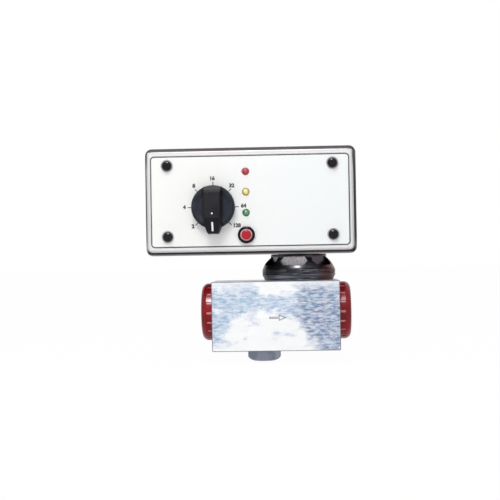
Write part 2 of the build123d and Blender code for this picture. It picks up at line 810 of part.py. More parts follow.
terminal_pitch = 5.08
terminal_count = 5
terminal_x = -26.0
terminal_z = 92.0
terminal_width = terminal_pitch * terminal_count + 1.0
terminal_height = 12.0
terminal_depth = 12.0
terminal_chamfer = 2.0
terminal_well_radius = 1.8
terminal_well_depth = 6.0
with BuildPart() as terminal_block:
    with BuildSketch(front_plane(box_inner_back)):
        with Locations((terminal_x, terminal_z)):
            Rectangle(terminal_width, terminal_height)
    extrude(amount=terminal_depth)
    chamfer(terminal_block.faces().sort_by(Axis.Y)[0].edges().filter_by(Axis.X), length=terminal_chamfer)
    with BuildSketch(front_plane(box_inner_back - terminal_depth)):
        with Locations((terminal_x, terminal_z)):
            with GridLocations(terminal_pitch, terminal_height, terminal_count, 1):
                Circle(terminal_well_radius)
    extrude(amount=-terminal_well_depth, mode=Mode.SUBTRACT)
terminal_block.part.label = "terminal_block"
export_step(terminal_block.part, "parts/terminal_block.step")

lamp_proud = 2.0
lamp_length = 8.6
lamp_flange_radius = 2.9
lamp_flange_thickness = 1.0
lamp_leg_pitch = 2.54
lamp_leg_width = 0.5
lamp_tip = overlay_front - lamp_proud
lamp_back = lamp_tip + lamp_length
lamp_flange_front = lamp_back - lamp_flange_thickness
for color, lamp_dz in lamp_heights.items():
    lamp_z = panel_center_z + lamp_dz
    with BuildPart() as lamp:
        with BuildSketch(Plane(origin=(lamp_x, 0, lamp_z), x_dir=(1, 0, 0), z_dir=(0, 0, 1))):
            with BuildLine():
                Polyline(
                    (0, lamp_back),
                    (lamp_flange_radius, lamp_back),
                    (lamp_flange_radius, lamp_flange_front),
                    (lamp_radius, lamp_flange_front),
                    (lamp_radius, lamp_tip + lamp_radius),
                )
                RadiusArc((lamp_radius, lamp_tip + lamp_radius), (0, lamp_tip), lamp_radius)
                Line((0, lamp_tip), (0, lamp_back))
            make_face()
        revolve(axis=Axis((lamp_x, 0, lamp_z), (0, 1, 0)))
        # two legs down to the board
        with BuildSketch(front_plane(pcb_front)):
            with Locations((lamp_x, lamp_z)):
                with GridLocations(lamp_leg_pitch, lamp_leg_pitch, 2, 1):
                    Rectangle(lamp_leg_width, lamp_leg_width)
        extrude(amount=pcb_front - lamp_back)
    lamp.part.label = f"lamp_{color}"
    export_step(lamp.part, f"parts/lamp_{color}.step")

# ------------------------------------------------------------------ rotary switch and knob
switch_radius = 13.0
bushing_proud = 4.0
bushing_front = overlay_front - bushing_proud
shaft_radius = 3.0
shaft_end_gap = 1.5
shaft_back = pcb_front - shaft_end_gap
shaft_front = -44.5
switch_nut_across_flats = 13.0
nut_thickness = 2.4

with BuildPart() as rotary_switch:
    with BuildSketch(dial_plane(pcb_front)):
        Circle(switch_radius)
    extrude(amount=pcb_front - lid_inner_face)
    with BuildSketch(dial_plane(lid_inner_face)):
        Circle(bushing_radius)
    extrude(amount=lid_inner_face - bushing_front)
    with BuildSketch(dial_plane(shaft_back)):
        Circle(shaft_radius + running_gap)
    extrude(amount=shaft_back - bushing_front, mode=Mode.SUBTRACT)
rotary_switch.part.label = "rotary_switch"
export_step(rotary_switch.part, "parts/rotary_switch.step")

with BuildPart() as switch_nut:
    with BuildSketch(dial_plane(overlay_front)):
        RegularPolygon(radius=switch_nut_across_flats / 2, side_count=6, major_radius=False)
        Circle(bushing_radius + assembly_gap, mode=Mode.SUBTRACT)
    extrude(amount=nut_thickness)
switch_nut.part.label = "switch_nut"
export_step(switch_nut.part, "parts/switch_nut.step")

with BuildPart() as switch_shaft:
    with BuildSketch(dial_plane(shaft_back)):
        Circle(shaft_radius)
    extrude(amount=shaft_back - shaft_front)
switch_shaft.part.label = "switch_shaft"
export_step(switch_shaft.part, "parts/switch_shaft.step")

# the knob's stations are distances forward of the origin's plane, along its axis
knob_lift = 0.7
knob_back = knob_lift - overlay_front
knob_rim = 38.8
knob_dish = 38.4
knob_nose = 40.8
knob_front = 47.6
rim_bevel = 1.1
rim_draft = 0.2
dish_inset = 2.6
bar_half_width = 6.6
bar_top_end = 14.6
bar_shoulder = -12.8
bar_corner = 1.3
bar_taper = 3.5
slope_start = -8.0
back_slope_start = 9.6
nose_half_width = 4.1
nose_chamfer = 0.7
pointer_hole_radius = 1.1
pointer_hole_depth = 1.6
pointer_hole_z = -5.0
shaft_fit = 0.02
shaft_crown = 0.3
trim_height = knob_front + 1.0
knob_section = Plane(origin=(dial_x, 0, dial_z), x_dir=(0, -1, 0), z_dir=(-1, 0, 0))
knob_axis = Axis((dial_x, 0, dial_z), (0, -1, 0))
nut_hollow_radius = 8.6
nut_hollow_depth = 4.2

with BuildPart() as selector_knob:
    # grip bar that runs on into the pointer's nose
    with BuildSketch(dial_plane(-knob_back)) as bar_outline:
        with BuildLine():
            Polyline(
                (-bar_half_width, bar_top_end),
                (-bar_half_width, bar_shoulder),
                (-nose_half_width, -knob_reach),
                (nose_half_width, -knob_reach),
                (bar_half_width, bar_shoulder),
                (bar_half_width, bar_top_end),
                close=True,
            )
        make_face()
        fillet(bar_outline.vertices().sort_by(Axis.Y)[:2], radius=bar_corner)
    extrude(amount=knob_front - knob_back, taper=bar_taper)
    # the bar's front falls away to the nose, and to the rim at the other end
    with BuildSketch(knob_section):
        with BuildLine():
            Polyline(
                (trim_height, slope_start),
                (knob_front, slope_start),
                (knob_nose, -knob_reach),
                (trim_height, -knob_reach),
                close=True,
            )
        make_face()
        with BuildLine():
            Polyline(
                (trim_height, back_slope_start),
                (knob_front, back_slope_start),
                (knob_nose, bar_top_end),
                (trim_height, bar_top_end),
                close=True,
            )
        make_face()
    extrude(amount=bar_half_width, both=True, mode=Mode.SUBTRACT)
    chamfer(
        selector_knob.faces().sort_by(Axis.Y)[0].edges().filter_by(Axis.Z),
        length=nose_chamfer,
    )
    # round skirt with a raised rim and a shallow dish inside it
    with BuildSketch(knob_section):
        with BuildLine():
            Polyline(
                (knob_back, 0),
                (knob_back, knob_radius),
                (knob_rim - rim_bevel, knob_radius - rim_draft),
                (knob_rim, knob_radius - rim_bevel - rim_draft),
                (knob_rim, knob_radius - dish_inset),
                (knob_dish, knob_radius - 2 * dish_inset),
                (knob_dish, 0),
                close=True,
            )
        make_face()
    revolve(axis=knob_axis)
    # hollow for the nut, and the shaft's bore
    with BuildSketch(dial_plane(-knob_back)):
        Circle(nut_hollow_radius)
    extrude(amount=nut_hollow_depth, mode=Mode.SUBTRACT)
    with BuildSketch(dial_plane(-knob_back)):
        Circle(shaft_radius + shaft_fit)
    extrude(amount=shaft_crown - shaft_front - knob_back, mode=Mode.SUBTRACT)
    # small blind hole in the bar, beside the nose
    with BuildSketch(dial_plane(-knob_front)):
        with Locations((0, pointer_hole_z)):
            Circle(pointer_hole_radius)
    extrude(amount=-pointer_hole_depth, mode=Mode.SUBTRACT)
selector_knob.part.label = "selector_knob"
export_step(selector_knob.part, "parts/selector_knob.step")

# ------------------------------------------------------------------ test button
collar_radius = 4.45
button_radius = 3.4
collar_length = 6.0
collar_proud = 2.0
bezel_height = 2.4
bezel_edge = 0.9
button_proud = 3.6
button_length = 8.0
button_edge = 1.0
button_front = overlay_front - button_proud
button_back = button_front + button_length
spring_room = 2.5
spring_seat = button_back + button_travel + spring_room
button_nut_across_flats = 12.0
button_nut_height = 2.2
button_wire = 0.3
button_spring_radius = 2.4
button_spring_pitch = 1.3

with BuildPart() as button_housing:
    with BuildSketch(button_plane(overlay_front)):
        Circle(button_bezel_radius)
    extrude(amount=bezel_height)
    fillet(button_housing.edges().sort_by(Axis.Y)[0], radius=bezel_edge)
    with BuildSketch(button_plane(pcb_front)):
        Circle(barrel_radius)
    extrude(amount=pcb_front - overlay_front)
    with BuildSketch(button_plane(spring_seat)):
        Circle(collar_radius + assembly_gap)
    extrude(amount=spring_seat - overlay_front + bezel_height, mode=Mode.SUBTRACT)
button_housing.part.label = "button_housing"
export_step(button_housing.part, "parts/button_housing.step")

with BuildPart() as button_collar:
    with BuildSketch(button_plane(overlay_front + collar_length - collar_proud)):
        Circle(collar_radius)
        Circle(button_radius + running_gap, mode=Mode.SUBTRACT)
    extrude(amount=collar_length)
button_collar.part.label = "button_collar"
export_step(button_collar.part, "parts/button_collar.step")

with BuildPart() as button_nut:
    with BuildSketch(button_plane(lid_inner_face + button_nut_height)):
        RegularPolygon(radius=button_nut_across_flats / 2, side_count=6, major_radius=False)
        Circle(barrel_radius + assembly_gap, mode=Mode.SUBTRACT)
    extrude(amount=button_nut_height)
button_nut.part.label = "button_nut"
export_step(button_nut.part, "parts/button_nut.step")

with BuildPart() as test_button:
    with BuildSketch(button_plane(button_back)):
        Circle(button_radius)
    extrude(amount=button_length)
    fillet(test_button.edges().sort_by(Axis.Y)[0], radius=button_edge)
test_button.part.label = "test_button"
export_step(test_button.part, "parts/test_button.step")

with BuildPart() as button_spring:
    spring_path = Helix(
        pitch=button_spring_pitch, height=spring_seat - button_back - 2 * button_wire,
        radius=button_spring_radius, center=(lamp_x, button_back + button_wire, button_z),
        direction=(0, 1, 0), mode=Mode.PRIVATE,
    )
    with BuildSketch(Plane(origin=spring_path @ 0, z_dir=spring_path % 0)):
        RegularPolygon(radius=button_wire, side_count=6)
    sweep(path=spring_path, is_frenet=True)
button_spring.part.label = "button_spring"
export_step(button_spring.part, "parts/button_spring.step")

# ------------------------------------------------------------------ cable gland, at the back
gland_bore_radius = 3.25
gland_shank = 10.0
gland_across_flats = 22.0
gland_body_height = 5.0
gland_waist_radius = 9.4
gland_waist_end = 6.2
gland_cap_across_flats = 20.0
gland_cap_end = 13.0
gland_dome_radius = 7.0
gland_end = 16.0
with BuildPart() as cable_gland:
    # turned core: the threaded shank, the waist between the hexagons and the domed end
    with BuildSketch(Plane(origin=(gland_x, 0, gland_z), x_dir=(1, 0, 0), z_dir=(0, 0, 1))):
        with BuildLine():
            Polyline(
                (0, box_back - gland_shank),
                (gland_thread_radius, box_back - gland_shank),
                (gland_thread_radius, box_back),
                (gland_waist_radius, box_back),
                (gland_waist_radius, box_back + gland_cap_end),
                (gland_dome_radius, box_back + gland_end),
                (0, box_back + gland_end),
                close=True,
            )
        make_face()
    revolve(axis=Axis((gland_x, 0, gland_z), (0, 1, 0)))
    with BuildSketch(front_plane(box_back + gland_body_height)):
        with Locations((gland_x, gland_z)):
            RegularPolygon(radius=gland_across_flats / 2, side_count=6, major_radius=False)
    extrude(amount=gland_body_height)
    with BuildSketch(front_plane(box_back + gland_cap_end)):
        with Locations((gland_x, gland_z)):
            RegularPolygon(radius=gland_cap_across_flats / 2, side_count=6, major_radius=False)
    extrude(amount=gland_cap_end - gland_waist_end)
    with BuildSketch(front_plane(box_back + gland_end)):
        with Locations((gland_x, gland_z)):
            Circle(gland_bore_radius)
    extrude(amount=gland_end + gland_shank, mode=Mode.SUBTRACT)
cable_gland.part.label = "cable_gland"
export_step(cable_gland.part, "parts/cable_gland.step")

gland_nut_height = 4.0
with BuildPart() as gland_nut:
    with BuildSketch(front_plane(box_inner_back)):
        with Locations((gland_x, gland_z)):
            RegularPolygon(radius=gland_across_flats / 2, side_count=6, major_radius=False)
            Circle(gland_thread_radius + assembly_gap, mode=Mode.SUBTRACT)
    extrude(amount=gland_nut_height)
gland_nut.part.label = "gland_nut"
export_step(gland_nut.part, "parts/gland_nut.step")

# ------------------------------------------------------------------ transit caps
cap_wall = 2.2
cap_rim_run = 4.0
cap_rim_drop = 5.0
cap_rim_radius = 4.7
cap_chamfer = 0.4
cap_inner_radius = 14.0
stem_length = socket_depth - 0.3
rib_length = 4.2
rib_depth = 0.9
rib_gap = 1.6


def transit_cap(section, mouth):
    """Hollow cap, ribbed beside the block, whose stem seats in the port's counterbore."""
    with BuildPart() as cap:
        with BuildSketch(section):
            with BuildLine():
                rim_start = (cap_thickness - cap_rim_run, cap_radius)
                rim_end = (cap_thickness, cap_radius - cap_rim_drop)
                Polyline(
                    (cap_thickness - cap_wall, 0),
                    (cap_thickness - cap_wall, cap_inner_radius),
                    (-stem_length, socket_radius - cap_wall),
                    (-stem_length, socket_radius - assembly_gap),
                    (0, socket_radius - assembly_gap),
                    (0, cap_radius - cap_chamfer),
                    (cap_chamfer, cap_radius),
                    rim_start,
                )
                RadiusArc(rim_start, rim_end, cap_rim_radius)
                Polyline(rim_end, (cap_thickness, 0), (cap_thickness - cap_wall, 0))
            make_face()
        revolve(axis=Axis(section.origin, section.x_dir))
        # finger grooves round the half that is next to the block
        with BuildSketch(mouth):
            with PolarLocations(cap_radius, cap_ribs):
                Rectangle(2 * rib_depth, rib_gap)
        extrude(amount=rib_length, mode=Mode.SUBTRACT)
    return cap


inlet_section = Plane(origin=(block_left, 0, 0), x_dir=(-1, 0, 0), z_dir=(0, 1, 0))
outlet_section = Plane(origin=(block_right, 0, 0), x_dir=(1, 0, 0), z_dir=(0, -1, 0))
inlet_cap = transit_cap(inlet_section, inlet_mouth)
inlet_cap.part.label = "inlet_cap"
export_step(inlet_cap.part, "parts/inlet_cap.step")
outlet_cap = transit_cap(outlet_section, outlet_mouth)
outlet_cap.part.label = "outlet_cap"
export_step(outlet_cap.part, "parts/outlet_cap.step")
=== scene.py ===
# %% [markdown]
# # Timer-controlled drain valve
# The object is a small machine in three storeys: a milled block that carries the pipe ports, a
# dark turned bonnet screwed into it, and a flat control box that the bonnet's tube carries.
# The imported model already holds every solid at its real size, so this file gives each one its
# finish and adds what is printed, engraved, threaded or wound.

# %% Load the frame
import math

import bmesh
import bpy
from mathutils import Matrix, Vector


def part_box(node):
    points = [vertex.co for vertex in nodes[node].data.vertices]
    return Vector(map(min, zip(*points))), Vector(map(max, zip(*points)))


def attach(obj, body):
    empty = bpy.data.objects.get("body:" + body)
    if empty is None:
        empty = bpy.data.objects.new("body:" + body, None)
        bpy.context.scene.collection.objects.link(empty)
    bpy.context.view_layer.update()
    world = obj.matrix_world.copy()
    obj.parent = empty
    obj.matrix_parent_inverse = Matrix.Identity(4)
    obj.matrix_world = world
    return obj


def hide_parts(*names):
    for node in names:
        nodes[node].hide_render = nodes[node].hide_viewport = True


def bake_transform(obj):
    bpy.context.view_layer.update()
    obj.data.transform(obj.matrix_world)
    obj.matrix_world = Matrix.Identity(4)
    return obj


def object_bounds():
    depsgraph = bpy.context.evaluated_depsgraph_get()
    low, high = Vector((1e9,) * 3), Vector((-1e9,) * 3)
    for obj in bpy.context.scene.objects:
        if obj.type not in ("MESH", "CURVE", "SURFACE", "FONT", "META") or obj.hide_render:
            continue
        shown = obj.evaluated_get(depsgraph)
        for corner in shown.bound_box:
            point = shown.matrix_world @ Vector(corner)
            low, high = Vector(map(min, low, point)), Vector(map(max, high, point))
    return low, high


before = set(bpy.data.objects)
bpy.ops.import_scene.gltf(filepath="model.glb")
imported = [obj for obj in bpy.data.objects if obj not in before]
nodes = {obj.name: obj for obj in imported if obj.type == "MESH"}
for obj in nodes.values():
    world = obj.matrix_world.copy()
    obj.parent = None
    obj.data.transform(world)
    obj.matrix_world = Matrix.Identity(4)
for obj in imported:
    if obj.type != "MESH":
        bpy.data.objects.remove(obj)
cad_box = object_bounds()
MM = 0.001
print("nodes:", len(nodes), "box in mm:", [round(v / MM, 1) for v in (*cad_box[0], *cad_box[1])])

# %% [markdown]
# ## Places to build from
# Everything that is added sits on something that the frame already has, so the few places below
# are measured from the nodes and nothing is typed in twice.

# %% Measure the panel, the dial, the block and the bonnet
def middle_of(name):
    low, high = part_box(name)
    return (low + high) / 2


def half_of(name):
    low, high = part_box(name)
    return (high - low) / 2


panel_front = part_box("front_overlay")[0].y
panel_center = middle_of("front_overlay")
knob_low, knob_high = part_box("selector_knob")
knob_radius = (knob_high.x - knob_low.x) / 2
dial = Vector(((knob_low.x + knob_high.x) / 2, panel_front, knob_high.z - knob_radius))
block_low, block_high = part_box("valve_block")
block_center = middle_of("valve_block")
bonnet_low, bonnet_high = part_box("bonnet")
bonnet_center = middle_of("bonnet")
print("dial centre in mm:", [round(v / MM, 2) for v in dial])
print("knob radius in mm:", round(knob_radius / MM, 2))

# %% [markdown]
# ## Helpers for materials
# A finish is a Principled shader plus a few texture nodes. Constant values go straight onto the
# shader's sockets. Patterns read Object coordinates, which are metres here, so a noise of scale
# 1000 has features of about one millimetre.

# %% Start a material
def start_material(name, color, roughness, metallic=0.0, specular=0.5):
    made = bpy.data.materials.new(name)
    made.use_nodes = True
    shader = made.node_tree.nodes["Principled BSDF"]
    shader.inputs["Base Color"].default_value = (*color, 1.0)
    shader.inputs["Roughness"].default_value = roughness
    shader.inputs["Metallic"].default_value = metallic
    shader.inputs["Specular IOR Level"].default_value = specular
    return made, made.node_tree, shader


def add(tree, kind, settings=None, inputs=None):
    """A new node, with its settings, and its inputs set to values or linked to other sockets."""
    made = tree.nodes.new(kind)
    for key, value in (settings or {}).items():
        setattr(made, key, value)
    for key, value in (inputs or {}).items():
        if isinstance(value, bpy.types.NodeSocket):
            tree.links.new(value, made.inputs[key])
        else:
            made.inputs[key].default_value = value
    return made


# %% Read a place on the surface, and make noise from it
def object_place(tree, center=(0, 0, 0), stretch=(1, 1, 1), turn=(0, 0, 0)):
    """Object coordinates, moved to a centre and stretched: a small factor draws a pattern out."""
    source = add(tree, "ShaderNodeTexCoord")
    moved = add(tree, "ShaderNodeVectorMath", {"operation": "SUBTRACT"},
                {0: source.outputs["Object"], 1: tuple(center)})
    return add(tree, "ShaderNodeMapping", {"vector_type": "POINT"},
               {"Vector": moved.outputs[0], "Rotation": turn, "Scale": stretch}).outputs[0]


def noise(tree, place, scale, detail=2.0, roughness=0.5):
    return add(tree, "ShaderNodeTexNoise", None, {
        "Vector": place, "Scale": scale, "Detail": detail, "Roughness": roughness}).outputs["Fac"]


def split(tree, place):
    return add(tree, "ShaderNodeSeparateXYZ", None, {0: place}).outputs


# %% Arithmetic on sockets
def calc(tree, operation, first, second=0.0, third=0.0):
    return add(tree, "ShaderNodeMath", {"operation": operation},
               {0: first, 1: second, 2: third}).outputs[0]


def times(tree, first, second):
    return calc(tree, "MULTIPLY", first, second)


def distance(tree, first, second):
    """How far a point is from an axis, from its two coordinates across that axis."""
    squares = [calc(tree, "POWER", leg, 2.0) for leg in (first, second)]
    return calc(tree, "SQRT", calc(tree, "ADD", *squares))


def past(tree, coordinate, reach):
    """How far a coordinate lies beyond a reach, on either side of zero."""
    return calc(tree, "SUBTRACT", calc(tree, "ABSOLUTE", coordinate), reach)


def oval(tree, place, center, reach):
    """The distance from an oval's centre, which is 1 all along its edge."""
    legs = [calc(tree, "DIVIDE", calc(tree, "SUBTRACT", value, middle), half)
            for value, middle, half in zip(place, center, reach)]
    return distance(tree, *legs)


# %% Turn a value into a mask or a colour
def between(tree, value, low, high, to_low=0.0, to_high=1.0):
    """The value's place between two marks, as a number that is held inside two others."""
    return add(tree, "ShaderNodeMapRange", {"interpolation_type": "SMOOTHSTEP", "clamp": True},
               {"Value": value, "From Min": low, "From Max": high,
                "To Min": to_low, "To Max": to_high}).outputs["Result"]


def blend_color(tree, mask, first, second):
    made = add(tree, "ShaderNodeMix", {"data_type": "RGBA", "blend_type": "MIX"}, {0: mask})
    for socket, value in ((made.inputs[6], first), (made.inputs[7], second)):
        if isinstance(value, bpy.types.NodeSocket):
            tree.links.new(value, socket)
        else:
            socket.default_value = (*value, 1.0)
    return made.outputs[2]


def mottle(tree, pattern, first, second, low=0.35, high=0.65):
    """Two colours that drift into each other as a noise does, whose values crowd round a half."""
    return blend_color(tree, between(tree, pattern, low, high), first, second)


# %% Give the shader a colour, a roughness or a bump
def give_color(tree, shader, socket):
    tree.links.new(socket, shader.inputs["Base Color"])


def give_roughness(tree, shader, pattern, at_low, at_high, low=0.3, high=0.7):
    tree.links.new(between(tree, pattern, low, high, at_low, at_high), shader.inputs["Roughness"])


def give_bump(tree, shader, height, depth, strength=0.5):
    bump = add(tree, "ShaderNodeBump", None, {
        "Height": height, "Distance": depth, "Strength": strength})
    tree.links.new(bump.outputs["Normal"], shader.inputs["Normal"])


# %% Put a finish on CAD nodes
dressed = set()


def dress(material, *names):
    for name in names:
        slots = nodes[name].data.materials
        slots.clear()
        slots.append(material)
        dressed.add(name)
    print(f"{material.name}: {', '.join(names)}")


# %% [markdown]
# ## The milled block
# The block is sawn bar and milled. Cloudy, pale-blue patches of painted reflection lie on the
# bright metal, drawn out along the bar. A stretched noise gives the clouds and a second, finer one
# the strokes. Two soft ovals stay bright, as painted highlight. The narrow chamfers are darker, as
# painted dark reflection.

# %% Milled metal with painted reflection
# how much of the face the painted reflection covers, and how much more at the right end
reflection_cover = 0.56
deep_reflection_cover = 0.24
cloud_contrast = 2.5
cloud_offset = -1.28
end_slant = 0.9
bright_metal = (0.84, 0.845, 0.85)
chamfer_dark_reflection = (0.16, 0.16, 0.18)


def milled_metal():
    made, tree, shader = start_material("milled_block", (0.9, 0.92, 0.94), 0.34, metallic=0.45)
    x, _, z = split(tree, object_place(tree, block_center))

    # painted highlight: a wide bright oval low and left of the middle, and a small one under the
    # bonnet
    wide = oval(tree, (x, z), center=(-6 * MM, -15 * MM), reach=(31 * MM, 16.5 * MM))
    small = oval(tree, (x, z), center=(4 * MM, 21 * MM), reach=(17 * MM, 8.5 * MM))
    unhighlighted = times(tree, between(tree, wide, 0.75, 1.35),
                     between(tree, small, 0.6, 1.4, 0.25, 1.0))

    # the painted reflection is deeper at the right end, past a slanting line
    slant = calc(tree, "MULTIPLY_ADD", z, end_slant, x)
    deep_reflection = times(tree, between(tree, slant, -2 * MM, 18 * MM), between(tree, x, 10 * MM, 22 * MM))

    # the painted reflection leaves the foot clean apart from that end, and thins out towards the
    # top
    right_foot = between(tree, x, 22 * MM, 34 * MM)
    foot = calc(tree, "MAXIMUM", between(tree, z, -23.8 * MM, -17.5 * MM), right_foot)
    crown = between(tree, z, 17.5 * MM, 23.5 * MM, 1.0, 0.35)

    # clouds say where the painted reflection lies, and strokes along the bar break it up
    clouds = noise(tree, object_place(tree, block_center, stretch=(0.6, 0.7, 1.15)),
                   scale=110.0, detail=6.0, roughness=0.72)
    strokes = noise(tree, object_place(tree, stretch=(0.35, 0.5, 1.3), turn=(0.0, 0.3, 0.0)),
                    scale=520.0, detail=5.0, roughness=0.66)
    cover = calc(tree, "MULTIPLY_ADD", deep_reflection, deep_reflection_cover, times(tree, unhighlighted, reflection_cover))
    contrasted = calc(tree, "MULTIPLY_ADD", clouds, cloud_contrast, cloud_offset)
    level = calc(tree, "ADD", cover, contrasted)
    patch = times(tree, times(tree, between(tree, level, 0.05, 0.55), foot), crown)
    stroked = times(tree, patch, between(tree, strokes, 0.37, 0.62, 0.36, 1.0))

    # the painted reflection's colour: blue to lilac, darker at the right end, with a green cast
    # here and there
    reflection_hue = noise(tree, object_place(tree, (20 * MM, 0, 10 * MM)), scale=330.0, detail=3.0)
    reflection_tone = mottle(tree, reflection_hue, (0.26, 0.43, 0.60), (0.36, 0.43, 0.61), 0.42, 0.6)
    deep_reflection_tone = mottle(tree, reflection_hue, (0.12, 0.21, 0.36), (0.20, 0.24, 0.40), 0.42, 0.6)
    blue = blend_color(tree, deep_reflection, reflection_tone, deep_reflection_tone)
    with_painted_reflection = blend_color(tree, stroked, bright_metal, blue)
    cast = noise(tree, object_place(tree, (10 * MM, 0, 0), (0.6, 1, 1)), scale=210.0, detail=3.0)
    green = times(tree, patch, between(tree, cast, 0.52, 0.72, 0.0, 0.5))
    tinted = blend_color(tree, green, with_painted_reflection, (0.46, 0.66, 0.74))

    # painted dark reflection on the chamfers: a chamfer leans away from every axis, so its normal
    # is long in no direction
    normal = split(tree, add(tree, "ShaderNodeTexCoord").outputs["Normal"])
    sizes = [calc(tree, "ABSOLUTE", part) for part in normal]
    longest = calc(tree, "MAXIMUM", sizes[0], calc(tree, "MAXIMUM", sizes[1], sizes[2]))
    chamfer = between(tree, longest, 0.86, 0.95, 1.0, 0.0)
    give_color(tree, shader, blend_color(tree, chamfer, tinted, chamfer_dark_reflection))

    cutter_marks = noise(tree, object_place(tree, stretch=(0.05, 1.0, 1.0)), scale=2600.0)
    give_roughness(tree, shader, cutter_marks, 0.3, 0.45)
    give_bump(tree, shader, cutter_marks, 0.02 * MM, 0.35)
    return made


dress(milled_metal(), "valve_block")

# %% [markdown]
# ## The bonnet
# The bonnet is turned from steel and blackened, then its six spanner flats are milled, which bares
# the metal. The flats stand upright in a band below the top, so the height and the surface normal
# pick them out. Only the front flat is painted pale, as painted highlight, and its two neighbours
# dull grey, as painted dark reflection. Fine level rings on the flange are the lathe tool's marks,
# and the pale bands painted along them are painted reflection.

# %% Blackened steel, with a painted highlight on the front flat
flats_turned_by = math.radians(10)
front_flat = (-math.sin(flats_turned_by), -math.cos(flats_turned_by), 0.0)
neighbour_facing = math.cos(math.radians(60))


def turned_steel():
    made, tree, shader = start_material("bonnet_steel", (0.03, 0.03, 0.034), 0.2, metallic=1.0)
    source = add(tree, "ShaderNodeTexCoord")
    normal = source.outputs["Normal"]
    z = split(tree, source.outputs["Object"])[2]

    # the front flat is painted pale grey as painted highlight, and its neighbours, 60 degrees
    # round, dull grey as painted dark reflection
    over_foot = between(tree, z, bonnet_high.z - 8.1 * MM, bonnet_high.z - 7.8 * MM)
    under_top = between(tree, z, bonnet_high.z - 1.9 * MM, bonnet_high.z - 1.7 * MM, 1.0, 0.0)
    flats = times(tree, over_foot, under_top)
    facing = add(tree, "ShaderNodeVectorMath", {"operation": "DOT_PRODUCT"},
                 {0: normal, 1: front_flat}).outputs["Value"]
    painted_highlight = times(tree, between(tree, facing, 0.996, 0.999), flats)
    beside = calc(tree, "COMPARE", calc(tree, "ABSOLUTE", facing), neighbour_facing, 0.004)
    with_painted_reflection = times(tree, beside, flats)

    flange = between(tree, z, bonnet_low.z + 10.5 * MM, bonnet_low.z + 13.5 * MM, 1.0, 0.0)
    rings = noise(tree, object_place(tree, bonnet_center, (0.02, 0.02, 1.0)),
                  scale=1500.0, detail=3.0, roughness=0.6)
    cool = noise(tree, object_place(tree, bonnet_center, (0.7, 0.7, 0.5)), scale=150.0, detail=3.0)
    dark = mottle(tree, cool, (0.0185, 0.018, 0.020), (0.05, 0.051, 0.056), 0.42, 0.66)
    # painted reflection: pale bands along the lathe rings on the flange
    reflection_band = times(tree, times(tree, between(tree, rings, 0.46, 0.6), flange), 0.8)
    with_ring_reflection = blend_color(tree, reflection_band, dark, (0.17, 0.18, 0.22))

    # painted reflection of the red outlet cap: a brown tint on the side that faces the outlet
    outlet_side = between(tree, split(tree, normal)[0], 0.40, 0.75)
    cap_reflection = times(tree, outlet_side, between(tree, cool, 0.36, 0.56, 0.4, 1.0))
    with_cap_reflection = blend_color(tree, cap_reflection, with_ring_reflection, (0.085, 0.026, 0.024))

    grain = noise(tree, object_place(tree, bonnet_center, (1.0, 1.0, 0.4)),
                  scale=1500.0, detail=3.0)
    flat_highlight = mottle(tree, grain, (0.32, 0.31, 0.32), (0.52, 0.50, 0.51))
    with_dark_reflection = blend_color(tree, with_painted_reflection, with_cap_reflection, (0.07, 0.065, 0.075))
    give_color(tree, shader, blend_color(tree, painted_highlight, with_dark_reflection, flat_highlight))
    give_roughness(tree, shader, painted_highlight, 0.27, 0.45, 0.0, 1.0)
    ring_height = times(tree, rings, between(tree, flange, 0.0, 1.0, 0.02, 1.0))
    give_bump(tree, shader, ring_height, 1.2 * MM, 1.0)
    return made


dress(turned_steel(), "bonnet")

# %% [markdown]
# ## The plug and the other bare metals
# Plated steel, brass and stainless differ in colour and in how much they blur a reflection.
# One function makes them all: a slow noise shifts the colour a little, and a fine one roughens.

# %% Bare metals
def bare_metal(name, color, shade, roughness, grain_scale=900.0, stretch=(1, 1, 1)):
    made, tree, shader = start_material(name, color, roughness, metallic=1.0)
    slow = noise(tree, object_place(tree), scale=110.0)
    grain = noise(tree, object_place(tree, stretch=stretch), grain_scale, detail=3.0)
    give_color(tree, shader, mottle(tree, slow, color, shade))
    give_roughness(tree, shader, grain, roughness - 0.06, roughness + 0.08)
    give_bump(tree, shader, grain, 0.01 * MM, 0.4)
    return made


dress(bare_metal("plug_steel", (0.22, 0.24, 0.30), (0.16, 0.17, 0.22), 0.3, 700.0, (1, 1, 0.2)),
      "bottom_plug")
dress(bare_metal("stainless", (0.6, 0.6, 0.61), (0.5, 0.5, 0.52), 0.3),
      "strainer_screen", "piston_spring", "plunger", "plunger_spring", "armature_tube",
      "fixed_core", "button_spring")
dress(bare_metal("brass", (0.72, 0.52, 0.22), (0.62, 0.44, 0.18), 0.28), "piston", "board_screws")
dress(bare_metal("zinc_plate", (0.62, 0.63, 0.65), (0.5, 0.52, 0.55), 0.35),
      "coil_yoke", "coil_washer", "coil_nut", "switch_nut", "switch_shaft", "button_nut")

# %% [markdown]
# ## Mouldings and rubber
# A moulding is one colour with a faint cloudiness and a fine spark-eroded texture, which shows
# as a tiny bump. Rubber is the same with more roughness.

# %% Mouldings
def moulding(name, color, shade, roughness, specular=0.5, grain_scale=1800.0, grain=0.01 * MM):
    made, tree, shader = start_material(name, color, roughness, specular=specular)
    cloud = noise(tree, object_place(tree), scale=60.0)
    texture = noise(tree, object_place(tree), grain_scale)
    give_color(tree, shader, mottle(tree, cloud, color, shade))
    give_roughness(tree, shader, texture, roughness - 0.04, roughness + 0.06)
    give_bump(tree, shader, texture, grain)
    return made


